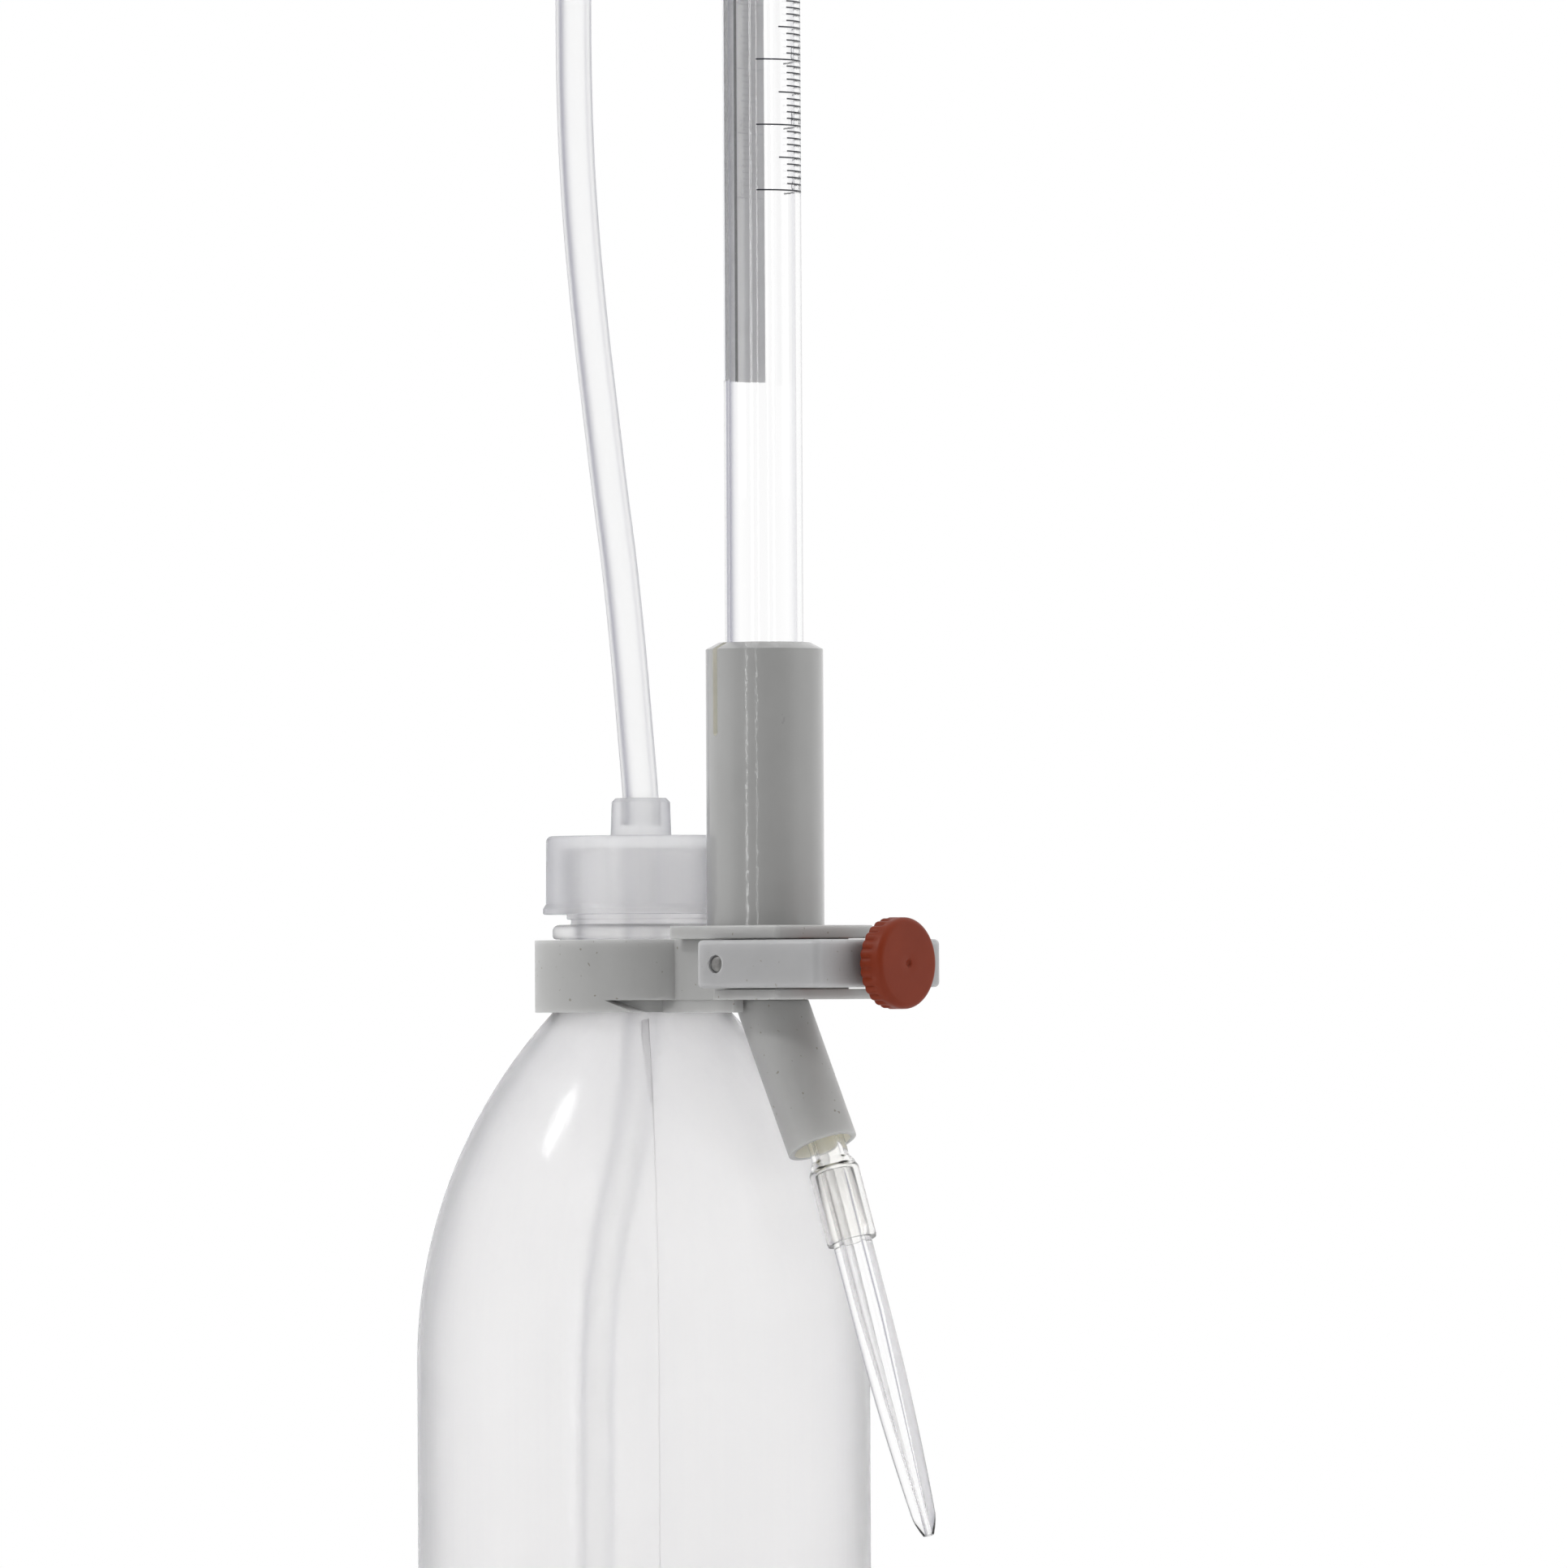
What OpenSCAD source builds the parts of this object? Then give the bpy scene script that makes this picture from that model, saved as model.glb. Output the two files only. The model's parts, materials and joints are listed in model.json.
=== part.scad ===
// Automatic burette on a squeeze bottle, with a pinch valve below the glass tube.
// Millimetres. +Z is up, +X points from the bottle to the valve's knob, and the
// origin is the middle of the bottle's base.

/* [Bottle] */
// Outer diameter of the bottle's body
bottle_d = 75.2; // [70:0.2:82]
// Wall of the bottle
bottle_wall = 1.2; // [0.8:0.1:2]
// Height at which the straight side ends and the shoulder begins
body_h = 98; // [80:1:120]
// Height of the round shoulder
shoulder_h = 58; // [52:1:64]
// Radius at the bottom edge
base_round = 6; // [4:0.5:9]
// Thickness of the base
base_t = 3; // [2.6:0.1:4]
// Diameter of the step on which the collar sits
seat_d = 29.6; // [29:0.1:31]
// Diameter of the neck inside the collar
neck_d = 27; // [26:0.1:28.4]
// Inner diameter of the neck
neck_bore_d = 20.4; // [18:0.1:21.4]
// Diameter of the bead above the collar
bead_d = 29.6; // [28.8:0.1:31]
// Height of the bead
bead_h = 2.4; // [1.8:0.1:3]
// Diameter of the throat between bead and thread
throat_d = 23.4; // [22.6:0.1:24]
// Height of the throat
throat_h = 0.9; // [0.6:0.1:1.4]
// Outer diameter of the threaded end
finish_d = 24.8; // [24.2:0.1:26]
// Height of the threaded end
finish_h = 11.7; // [10:0.1:13]

/* [Screw cap] */
// Outer diameter of the cap
cap_d = 31.5; // [30:0.1:34]
// Height of the cap without its nozzle
cap_h = 13; // [12:0.1:15]
// Thickness of the cap's top
cap_top_t = 2.1; // [1.6:0.1:3]
// How far the rim at the lower edge stands out
cap_rim = 0.6; // [0.2:0.1:1]
// Height of the rim at the lower edge
cap_rim_h = 1.7; // [1:0.1:3]
// Diameter of the nozzle at its foot
nozzle_d = 10.1; // [9:0.1:12]
// Diameter of the nozzle at its tip
nozzle_tip_d = 9.7; // [8.8:0.1:10]
// Height of the nozzle
nozzle_h = 6.3; // [5:0.1:9]
// How deep the hose sits in a nozzle
hose_seat = 5; // [3:0.1:5.4]
// Length of the socket under the cap for the riser tube
riser_socket = 9; // [6:0.5:12]

/* [Tubing] */
// Outer diameter of the hose and the riser tube
hose_d = 6; // [5:0.1:6.6]
// Inner diameter of the hose and the riser tube
hose_bore_d = 4; // [2.5:0.1:4.4]
// Height above the table at which the riser tube ends
riser_end_z = 6; // [5:0.5:15]
// How far the riser tube leans out from the bottle's axis
riser_shift = 25; // [15:1:28]
// Bend radius of the riser tube
riser_bend_r = 55; // [45:1:60]
// Direction in which the riser tube leans out
riser_angle = -68; // [-90:1:-40]
// Relaxed outer diameter of the pinch tube
pinch_d = 6.2; // [5.8:0.1:6.4]
// Relaxed bore of the pinch tube
pinch_bore_d = 3.6; // [3:0.1:3.8]
// Thickness of the pinch tube where it is pressed flat
pinch_flat = 2.6; // [2.2:0.1:3]
// Width of the pinch tube where it is pressed flat
pinch_wide = 8; // [7.4:0.1:8.2]

/* [Holder] */
// Outer diameter of the collar round the neck
collar_d = 35.5; // [34:0.1:38]
// Height of the collar
collar_h = 12; // [11:0.1:14]
// Distance from the bottle's axis to the burette's axis
arm_x = 27; // [26.5:0.1:28]
// How far the valve block's underside lies above the collar's underside
block_lift = 2; // [1:0.1:2.5]
// Width of the valve block
block_w = 18.6; // [18:0.1:19.4]
// Front face of the valve block
block_front_x = 37; // [36:0.1:38]
// Width of the guide flange and the cover plate
plate_w = 25; // [23:0.1:28]
// Front edge of the guide flange and the cover plate
plate_front_x = 40; // [39:0.1:41]
// Rear edge of the guide flange
flange_rear_x = 25.8; // [24:0.1:28]
// Thickness of the guide flange
flange_t = 1.7; // [1.3:0.1:2]
// Rear edge of the cover plate
cover_rear_x = 16.5; // [16:0.1:17.5]
// Thickness of the cover plate
cover_t = 2.2; // [1.6:0.1:3]
// Floor under the slide
floor_t = 2.4; // [2:0.1:2.8]
// Thickness of the anvil that the pinch tube is pressed against
anvil_t = 2; // [1.6:0.1:2.4]
// Where the collar's lower lip starts to run out, at the block's underside
relief_x = 6.2; // [5:0.1:8]
// How much further the lip reaches at the collar's underside
relief_lean = 4.3; // [3:0.1:5]
// Front end of the two rails under the block
rail_front_x = 27.6; // [26:0.1:29]
// How far the rails stand back from the sides of the block
rail_step = 0.25; // [0.2:0.05:0.5]

/* [Burette] */
// Outer diameter of the glass tube
glass_d = 12.9; // [12:0.1:14]
// Wall of the glass tube
glass_wall = 1; // [0.8:0.05:1.3]
// Length of the glass tube above its seat
glass_len = 416; // [400:1:430]
// Diameter of the drawn nipple at the lower end
nipple_d = 5.2; // [4.6:0.1:5.6]
// Length of the drawn nipple
nipple_len = 7; // [5:0.1:7.4]
// Bore of the drawn nipple
nipple_bore_d = 3; // [2:0.1:3.4]
// Outer diameter of the sleeve that holds the glass
sleeve_d = 19.4; // [19:0.1:21]
// Length of the sleeve above the cover plate
sleeve_len = 46.6; // [40:0.1:55]
// Length of the bevel at the sleeve's top
sleeve_bevel = 1.1; // [0.6:0.1:1.6]
// Diameter of the sleeve's spigot in the cover plate
spigot_d = 16; // [15:0.1:17]
// Height above the cover plate of the ledge inside the sleeve
ledge_h = 6.3; // [5:0.1:7]
// Bore of the sleeve below the ledge
ledge_bore_d = 9; // [8.8:0.1:10]
// Width of the slit in the sleeve
slit_w = 1.3; // [0.8:0.1:2]
// Length of the slit in the sleeve
slit_len = 15.4; // [8:0.2:25]
// Direction in which the slit faces
slit_angle = -107; // [-150:1:-60]
// Thickness of the rubber ring under the glass
seat_ring_t = 1.5; // [1:0.1:2.2]
// Length of the zero tube below the top of the glass
zero_depth = 34; // [25:1:45]
// Outer diameter of the zero tube
zero_d = 5; // [4:0.1:5.6]
// Bore of the zero tube
zero_bore_d = 3; // [2:0.1:3.4]
// Outer diameter of the head on the glass
head_d = 19; // [18:0.1:22]
// Length of the head's skirt over the glass
skirt_len = 12; // [8:0.5:18]
// Height of the head above the glass
head_h = 10; // [9.6:0.1:14]
// Height of the head's side nozzle above the glass
side_nozzle_h = 4; // [3.8:0.1:4.6]
// Length of the head's side nozzle
side_nozzle_len = 6; // [5:0.1:7]
// Diameter of the vent in the head
vent_d = 1.2; // [0.8:0.1:1.6]

/* [Spout and tip] */
// Outer diameter of the spout
spout_d = 11.7; // [11:0.1:12.6]
// Inner diameter of the spout
spout_bore_d = 9.6; // [9:0.1:10]
// Length of the spout along its axis
spout_len = 26.5; // [22:0.1:32]
// Lean of the spout from the vertical
spout_tilt = 24.5; // [22:0.5:28]
// How far the spout's axis lies in front of the burette's axis at the block
spout_offset = 1; // [0.8:0.1:1.4]
// Lean of the glass tip from the vertical
tip_tilt = 18.4; // [16:0.2:20]
// Free length of pinch tube between spout and tip
tip_neck = 4.5; // [4:0.1:7]
// Length of pinch tube drawn over the glass tip
tip_grip = 12; // [9:0.1:16]
// Outer diameter of the glass tip
tip_d = 6.5; // [6.2:0.1:7]
// Length of the glass tip
tip_len = 62.2; // [50:0.2:70]
// Length over which the tip tapers
tip_taper = 34; // [24:1:38]
// Diameter where the taper ends
tip_end_d = 4; // [3:0.1:4.6]
// Length of the bevel at the mouth of the tip
tip_bevel = 3.8; // [2:0.1:5]
// Outer diameter of the mouth of the tip
tip_mouth_d = 2; // [1.6:0.1:2.6]
// Bore of the mouth of the tip
tip_hole_d = 0.8; // [0.5:0.1:1.2]
// Bore of the glass tip
tip_bore_d = 3; // [2:0.1:3.6]

/* [Push yoke] */
// Width of the yoke over both arms
yoke_w = 32.6; // [30:0.1:36]
// Rear ends of the yoke's arms
yoke_rear_x = 25.7; // [24.6:0.1:27]
// Front face of the yoke
yoke_front_x = 51.4; // [51:0.1:53]
// Thickness of the yoke's front bar
yoke_bar = 3.8; // [3:0.1:4.2]
// Radius on the yoke's outer edges
yoke_round = 0.9; // [0.4:0.1:1.4]
// Travel of the yoke when it is pushed
push_travel = 2.6; // [1.5:0.1:2.8]
// Diameter of the guide pins
pin_d = 2.9; // [2.4:0.1:3.2]
// Place of the guide pins
pin_x = 29.8; // [29:0.1:31]

/* [Slide and screw] */
// Width of the slide
slide_w = 12.8; // [12.4:0.1:13.2]
// Thickness of the slide's bar behind the tube
pinch_bar = 2.8; // [2.2:0.1:3]
// Front end of the slide
slide_front_x = 44.5; // [43.5:0.1:45.5]
// Width of the window in the slide
window_w = 8.8; // [8.6:0.1:9.2]
// Room for the spring between anvil and slide
spring_room = 8.5; // [8:0.1:8.9]
// Mean diameter of the spring
spring_d = 5; // [4.4:0.1:5.4]
// Wire of the spring
spring_wire = 0.6; // [0.4:0.05:0.8]
// Turns of the spring
spring_turns = 5; // [4:1:5]
// Diameter of the adjusting screw
screw_d = 4; // [3:0.1:5]
// Travel of the slide over the screw's range
feed_travel = 1.4; // [0.8:0.1:1.5]
// Diameter over the knob's ribs
knob_d = 15; // [13:0.1:18]
// Thickness of the knob
knob_t = 4.4; // [3.6:0.1:6]
// Gap between knob and yoke with the screw backed out
knob_gap = 1.7; // [1.6:0.1:2.4]
// How deep the screw sits in the knob
knob_socket = 2.6; // [2:0.1:3]
// Ribs on the knob
knob_ribs = 28; // [24:1:40]
// Height at the front of the knob that has no ribs
knob_plain = 1.1; // [0.6:0.1:1.6]

/* [Hidden] */
$fn = 96;
// Clearances: sliding faces, round running fits, pieces that sit in each other, pieces that are glued
slide_play = 0.2;
running_play = 0.05;
seat_play = 0.15;
fit_play = 0.02;

// Bottle
bottle_r = bottle_d / 2;
shoulder_in = bottle_r - seat_d / 2;
shoulder_arc = (shoulder_h * shoulder_h + shoulder_in * shoulder_in) / (2 * shoulder_in);
seat_z = body_h + shoulder_h;
inner_shoulder_gap = 2;

// Collar, block and plates
collar_top_z = seat_z + collar_h;
block_z = seat_z + block_lift;
flange_top_z = block_z + flange_t;
floor_z = block_z + floor_t;
cover_top_z = collar_top_z + cover_t;
axis_z = (flange_top_z + collar_top_z) / 2;
relief_r = seat_d / 2 + 0.4;
rail_z = seat_z - 0.1;
rail_out = block_w / 2 - rail_step;
rail_in = spout_d / 2 + 0.7;

// Neck and cap
bead_z = collar_top_z + seat_play;
throat_z = bead_z + bead_h;
finish_z = throat_z + throat_h;
finish_top_z = finish_z + finish_h;
cap_top_z = finish_top_z + fit_play + cap_top_t;
cap_z = cap_top_z - cap_h;
nozzle_top_z = cap_top_z + nozzle_h;
hose_hole_d = hose_d + 2 * seat_play;
nozzle_floor_z = nozzle_top_z - hose_seat;
riser_top_z = cap_top_z - cap_top_t;
riser_boss_wall = 1.8;
cap_round = 0.8;
nozzle_bevel = 0.6;

// Glass tube, sleeve and head
glass_r = glass_d / 2;
sleeve_top_z = cover_top_z + sleeve_len;
sleeve_bore_d = glass_d + 2 * seat_play;
sleeve_lip = 1;
ledge_z = cover_top_z + ledge_h;
glass_z = ledge_z + seat_ring_t;
glass_top_z = glass_z + glass_len;
glass_foot = 1.5;
glass_cone = 4;
head_top_z = glass_top_z + head_h;
side_nozzle_z = glass_top_z + side_nozzle_h;
side_mouth_x = arm_x - head_d / 2 - side_nozzle_len;
side_seat_x = side_mouth_x + hose_seat + 1.5;
head_round = 1.2;
zero_stop_h = side_nozzle_h - hose_bore_d / 2 - 0.6;

// Slide, anvil and pinch tube
tube_clear = pinch_d / 2 + 4 * slide_play;
anvil_tip_x = arm_x + pinch_flat / 2;
anvil_x = arm_x + tube_clear;
anvil_front_x = anvil_x + anvil_t;
bar_tip_x = arm_x - pinch_flat / 2 - slide_play;
nose_tip_h = 1.4;
nose_root_h = 3.8;
anvil_w = window_w - 4 * slide_play;
window_rear_x = arm_x - tube_clear;
window_front_x = anvil_front_x + spring_room;
slide_rear_x = window_rear_x - pinch_bar;
slide_z = floor_z + slide_play;
slide_top_z = collar_top_z - slide_play;
full_travel = push_travel + feed_travel;
channel_rear_x = slide_rear_x - full_travel - slide_play;
channel_w = slide_w + 2 * slide_play;
pinch_half_h = 1;
pinch_blend = 2.6;

// Spout, tube joints and tip
spout_x = arm_x + spout_offset;
tube_joint_z = block_z + spout_offset / tan(spout_tilt);
mouth_x = spout_x + spout_len * sin(spout_tilt);
mouth_z = block_z - spout_len * cos(spout_tilt);
droop = 1.1;
droop_in = 1.3;
tip_joint_x = mouth_x - droop_in * sin(spout_tilt) + droop * cos(spout_tilt);
tip_joint_z = mouth_z + droop_in * cos(spout_tilt) + droop * sin(spout_tilt);
run_dx = tip_joint_x - arm_x;
run_dz = tube_joint_z - tip_joint_z;
run_tilt = atan2(run_dx, run_dz);
run_len = sqrt(run_dx * run_dx + run_dz * run_dz);
tip_swell = 1.6;
knee = 0.2;
pinch_wall = (pinch_d - pinch_bore_d) / 2;
grip_bore_d = tip_d + 2 * fit_play;
grip_d = grip_bore_d + 1.8;
nipple_grip_d = nipple_d + 2 * fit_play;
nipple_sleeve_d = nipple_grip_d + 2.2;

// Yoke, pins, screw and knob
yoke_h = collar_top_z - flange_top_z - 2 * slide_play;
arm_inner = block_w / 2 + slide_play;
yoke_inner_x = yoke_front_x - yoke_bar;
pin_in = channel_w / 2 + 2 * slide_play;
pin_out = yoke_w / 2 - slide_play;
knob_back_x = yoke_front_x + knob_gap;
knob_front_x = knob_back_x + knob_t;
screw_tip_x = slide_front_x + seat_play;
screw_head_x = knob_back_x + knob_socket;
rib_r = PI * knob_d / knob_ribs / 2;
knob_round = 0.7;
dimple_r = 0.6;
dimple_deep = 0.5;

// The hose's way from the cap's nozzle to the head, as X and Z in the plane of the arm
hose_sides = 10;
riser_sides = 12;
hose_route = [
    [0, 187], [0, 191], [-1.2, 203], [-2.6, 216], [-4.4, 230], [-6.5, 243], [-8.6, 257],
    [-10.5, 270], [-12.2, 284], [-13.3, 297], [-13.9, 311], [-14, 325], [-13.9, 340], [-13.7, 355],
    [-13.5, 370], [-13.3, 385], [-13.2, 400], [-13.1, 415], [-13, 430], [-13, 445], [-13, 460],
    [-13, 475], [-13, 490], [-13, 505], [-13, 520], [-13, 535], [-13, 550], [-13, 563], [-13, 572],
    [-12.1, 579], [-9.5, 585], [-5.4, 590.4], [0, 594.5], [6.3, 597.2], [13, 598], [18, 598]
];

// Helpers

// A rectangle with round corners, centred on the origin
module rounded_rect(size, r) {
    square([size.x - 2 * r, size.y], center = true);
    square([size.x, size.y - 2 * r], center = true);
    for (sx = [-1, 1], sy = [-1, 1])
        translate([sx * (size.x / 2 - r), sy * (size.y / 2 - r)]) circle(r);
}

// A block given by its limits along X, its width about the plane of symmetry and its limits along Z
module span(x0, x1, w, z0, z1) {
    translate([x0, -w / 2, z0]) cube([x1 - x0, w, z1 - z0]);
}

// A blunt wedge that presses on the tube, from its root to its tip along X
module nose(root_x, tip_x, w) {
    translate([0, w / 2, axis_z]) rotate([90, 0, 0]) linear_extrude(w) polygon([
        [root_x, -nose_root_h / 2], [tip_x, -nose_tip_h / 2],
        [tip_x, nose_tip_h / 2], [root_x, nose_root_h / 2]
    ]);
}

// Puts things on an axis that runs down from a point and leans forward
module leaning(x, z, tilt) {
    translate([x, 0, z]) rotate([0, 180 - tilt, 0]) children();
}

// Rings of points about a path in the plane of the arm, joined to one closed tube
function path_dir(path, i) =
    let (a = path[max(i - 1, 0)], b = path[min(i + 1, len(path) - 1)], d = b - a) d / norm(d);
function ring_points(path, i, r, sides) =
    let (d = path_dir(path, i), side = [d.y, -d.x])
    [for (k = [0 : sides - 1]) let (t = 360 * k / sides)
        [path[i].x + r * cos(t) * side.x, r * sin(t), path[i].y + r * cos(t) * side.y]];
function tube_faces(rings, sides) = concat(
    [for (i = [0 : rings - 2], k = [0 : sides - 1]) let (n = (k + 1) % sides)
        [i * sides + k, i * sides + n, (i + 1) * sides + n, (i + 1) * sides + k]],
    [[for (k = [sides - 1 : -1 : 0]) k]],
    [[for (k = [0 : sides - 1]) (rings - 1) * sides + k]]
);

// The same for a tube with a bore, whose inner rings follow the outer ones
function pipe_faces(rings, sides) = let (inner = rings * sides, last = (rings - 1) * sides) concat(
    [for (i = [0 : rings - 2], k = [0 : sides - 1]) let (n = (k + 1) % sides)
        [i * sides + k, i * sides + n, (i + 1) * sides + n, (i + 1) * sides + k]],
    [for (i = [0 : rings - 2], k = [0 : sides - 1]) let (n = (k + 1) % sides)
        [inner + i * sides + n, inner + i * sides + k, inner + (i + 1) * sides + k, inner + (i + 1) * sides + n]],
    [for (k = [0 : sides - 1]) let (n = (k + 1) % sides) [n, k, inner + k, inner + n]],
    [for (k = [0 : sides - 1]) let (n = (k + 1) % sides)
        [last + k, last + n, inner + last + n, inner + last + k]]
);

// A helix along X, whose wire is one closed tube
function helix_point(t, turns, r, length) = [length * t, r * cos(360 * turns * t), r * sin(360 * turns * t)];
function helix_ring(t, turns, r, length, wire_r, sides) =
    let (p = helix_point(t, turns, r, length), a = 360 * turns * t,
        rise = length / (2 * PI * r * turns),
        out = [0, cos(a), sin(a)],
        ahead = [rise, -sin(a), cos(a)] / norm([rise, -sin(a), cos(a)]),
        side = cross(ahead, out))
    [for (k = [0 : sides - 1]) let (b = 360 * k / sides) p + wire_r * (cos(b) * out + sin(b) * side)];

// Bottle and cap

// Half outline of the bottle's body, drawn in from its surface
module body_outline(inset, bottom, shoulder_top) {
    r = bottle_r - inset;
    edge = base_round - inset;
    translate([0, bottom]) square([r - edge, body_h - bottom]);
    translate([0, bottom + edge]) square([r, body_h - bottom - edge]);
    intersection() {
        translate([r - edge, bottom + edge]) circle(edge);
        translate([0, bottom]) square([r, 2 * edge]);
    }
    intersection() {
        translate([bottle_r - shoulder_arc, body_h]) circle(shoulder_arc - inset, $fn = 240);
        translate([0, body_h]) square([r, shoulder_top - body_h]);
    }
}

module bottle() {
    color([0.9, 0.9, 0.9, 0.6]) difference() {
        union() {
            rotate_extrude() body_outline(0, 0, seat_z);
            translate([0, 0, seat_z - 1]) cylinder(h = throat_z - seat_z + 1, d = neck_d);
            translate([0, 0, bead_z]) rotate_extrude() {
                square([bead_d / 2 - bead_h / 2, bead_h]);
                translate([bead_d / 2 - bead_h / 2, bead_h / 2]) circle(bead_h / 2);
            }
            translate([0, 0, throat_z - 1]) cylinder(h = throat_h + 2, d = throat_d);
            translate([0, 0, finish_z]) cylinder(h = finish_h, d = finish_d);
        }
        rotate_extrude() body_outline(bottle_wall, base_t, seat_z - inner_shoulder_gap);
        translate([0, 0, seat_z - inner_shoulder_gap - 1])
            cylinder(h = finish_top_z - seat_z + inner_shoulder_gap + 2, d = neck_bore_d);
    }
}

module screw_cap() {
    color([0.92, 0.92, 0.94, 0.8]) difference() {
        union() {
            rotate_extrude() {
                translate([0, cap_z]) square([cap_d / 2, cap_h - cap_round]);
                translate([0, cap_top_z - 2 * cap_round]) square([cap_d / 2 - cap_round, 2 * cap_round]);
                translate([cap_d / 2 - cap_round, cap_top_z - cap_round]) circle(cap_round);
                polygon([
                    [cap_d / 2 - 1, cap_z], [cap_d / 2 + cap_rim, cap_z],
                    [cap_d / 2 + cap_rim, cap_z + cap_rim_h - cap_rim], [cap_d / 2, cap_z + cap_rim_h],
                    [cap_d / 2 - 1, cap_z + cap_rim_h]
                ]);
            }
            translate([0, 0, cap_top_z - 1]) cylinder(h = nozzle_h + 1 - nozzle_bevel, d1 = nozzle_d, d2 = nozzle_tip_d);
            translate([0, 0, nozzle_top_z - nozzle_bevel])
                cylinder(h = nozzle_bevel, d1 = nozzle_tip_d, d2 = nozzle_tip_d - 2 * nozzle_bevel);
        }
        difference() {
            translate([0, 0, cap_z - 1])
                cylinder(h = cap_h - cap_top_t + 1, d = finish_d + 2 * seat_play);
            translate([0, 0, riser_top_z - riser_socket])
                cylinder(h = riser_socket + 1, d = hose_hole_d + 2 * riser_boss_wall);
        }
        translate([0, 0, nozzle_floor_z]) cylinder(h = hose_seat + 1, d = hose_hole_d);
        translate([0, 0, riser_top_z - riser_socket - 1]) cylinder(h = riser_socket + 1, d = hose_hole_d);
        translate([0, 0, cap_z]) cylinder(h = cap_h + nozzle_h, d = hose_bore_d);
    }
}

module riser_tube() {
    swing = acos(1 - riser_shift / (2 * riser_bend_r));
    bend_top_z = seat_z + collar_h / 2;
    bend_z = riser_bend_r * sin(swing);
    upper = [for (i = [0 : 4]) let (a = swing * i / 4)
        [riser_bend_r * (1 - cos(a)), bend_top_z - riser_bend_r * sin(a)]];
    lower = [for (i = [3 : -1 : 0]) let (a = swing * i / 4)
        [riser_shift - riser_bend_r * (1 - cos(a)), bend_top_z - 2 * bend_z + riser_bend_r * sin(a)]];
    route = concat([[0, riser_top_z - fit_play]], upper, lower, [[riser_shift, riser_end_z]]);
    rings = len(route);
    color([0.9, 0.92, 0.95]) rotate([0, 0, riser_angle]) polyhedron(
        concat(
            [for (i = [0 : rings - 1]) each ring_points(route, i, hose_d / 2, riser_sides)],
            [for (i = [0 : rings - 1]) each ring_points(route, i, hose_bore_d / 2, riser_sides)]),
        pipe_faces(rings, riser_sides));
}

module fill_hose() {
    rings = len(hose_route);
    color([0.88, 0.9, 0.95]) polyhedron(
        [for (i = [0 : rings - 1]) each ring_points(hose_route, i, hose_d / 2, hose_sides)],
        tube_faces(rings, hose_sides));
}

// Holder and valve block

// A slot through one side wall of the block, as long as the pin's way
module pin_slot(side) {
    wall = (block_w - channel_w) / 2 + 2;
    slot_d = pin_d + 2 * slide_play;
    translate([0, side * (block_w + channel_w) / 4, axis_z]) {
        for (shift = [0, push_travel]) translate([pin_x - shift, 0, 0]) rotate([90, 0, 0])
            cylinder(h = wall, d = slot_d, center = true);
        translate([pin_x - push_travel, -wall / 2, -slot_d / 2]) cube([push_travel, wall, slot_d]);
    }
}

// The collar, with its lower lip cut back in front of the bottle's neck
module collar() {
    difference() {
        translate([0, 0, seat_z]) cylinder(h = collar_h, d = collar_d);
        difference() {
            translate([0, collar_d, 0]) rotate([90, 0, 0]) linear_extrude(2 * collar_d) polygon([
                [relief_x, block_z], [relief_x + relief_lean, seat_z], [relief_x + relief_lean, seat_z - 1],
                [collar_d, seat_z - 1], [collar_d, block_z]
            ]);
            translate([0, 0, seat_z - 2]) cylinder(h = collar_h, r = relief_r);
        }
    }
}

// A rail under the block, from the collar to the spout
module block_rail(side) {
    difference() {
        translate([0, side * (rail_in + rail_out) / 2 - (rail_out - rail_in) / 2, rail_z])
            cube([rail_front_x, rail_out - rail_in, block_z - rail_z + 1]);
        translate([0, 0, rail_z - 1]) cylinder(h = collar_h, r = relief_r);
    }
}

module holder() {
    lead = 2.2;
    color([0.78, 0.78, 0.78]) {
        difference() {
            union() {
                collar();
                for (s = [-1, 1]) block_rail(s);
                span(0, block_front_x, block_w, block_z, collar_top_z);
                translate([(flange_rear_x + plate_front_x) / 2, 0, block_z]) linear_extrude(flange_t)
                    rounded_rect([plate_front_x - flange_rear_x, plate_w], yoke_round);
            }
            translate([0, 0, seat_z - 1]) cylinder(h = collar_h + 2, d = neck_d + 2 * seat_play);
            span(channel_rear_x, plate_front_x + 1, channel_w, floor_z, collar_top_z + 1);
            for (s = [-1, 1]) pin_slot(s);
            leaning(arm_x, tube_joint_z, run_tilt) translate([0, 0, -lead])
                cylinder(h = run_len / 2, d = pinch_d + 2 * slide_play);
        }
        span(anvil_x, anvil_front_x, anvil_w, floor_z - slide_play, collar_top_z);
        nose(anvil_x + anvil_t / 2, anvil_tip_x, anvil_w);
    }
}

module valve_cover() {
    color([0.8, 0.8, 0.8]) translate([(cover_rear_x + plate_front_x) / 2, 0, collar_top_z]) difference() {
        linear_extrude(cover_t) rounded_rect([plate_front_x - cover_rear_x, plate_w], yoke_round);
        translate([arm_x - (cover_rear_x + plate_front_x) / 2, 0, -1])
            cylinder(h = cover_t + 2, d = spigot_d + 2 * fit_play);
    }
}

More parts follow.
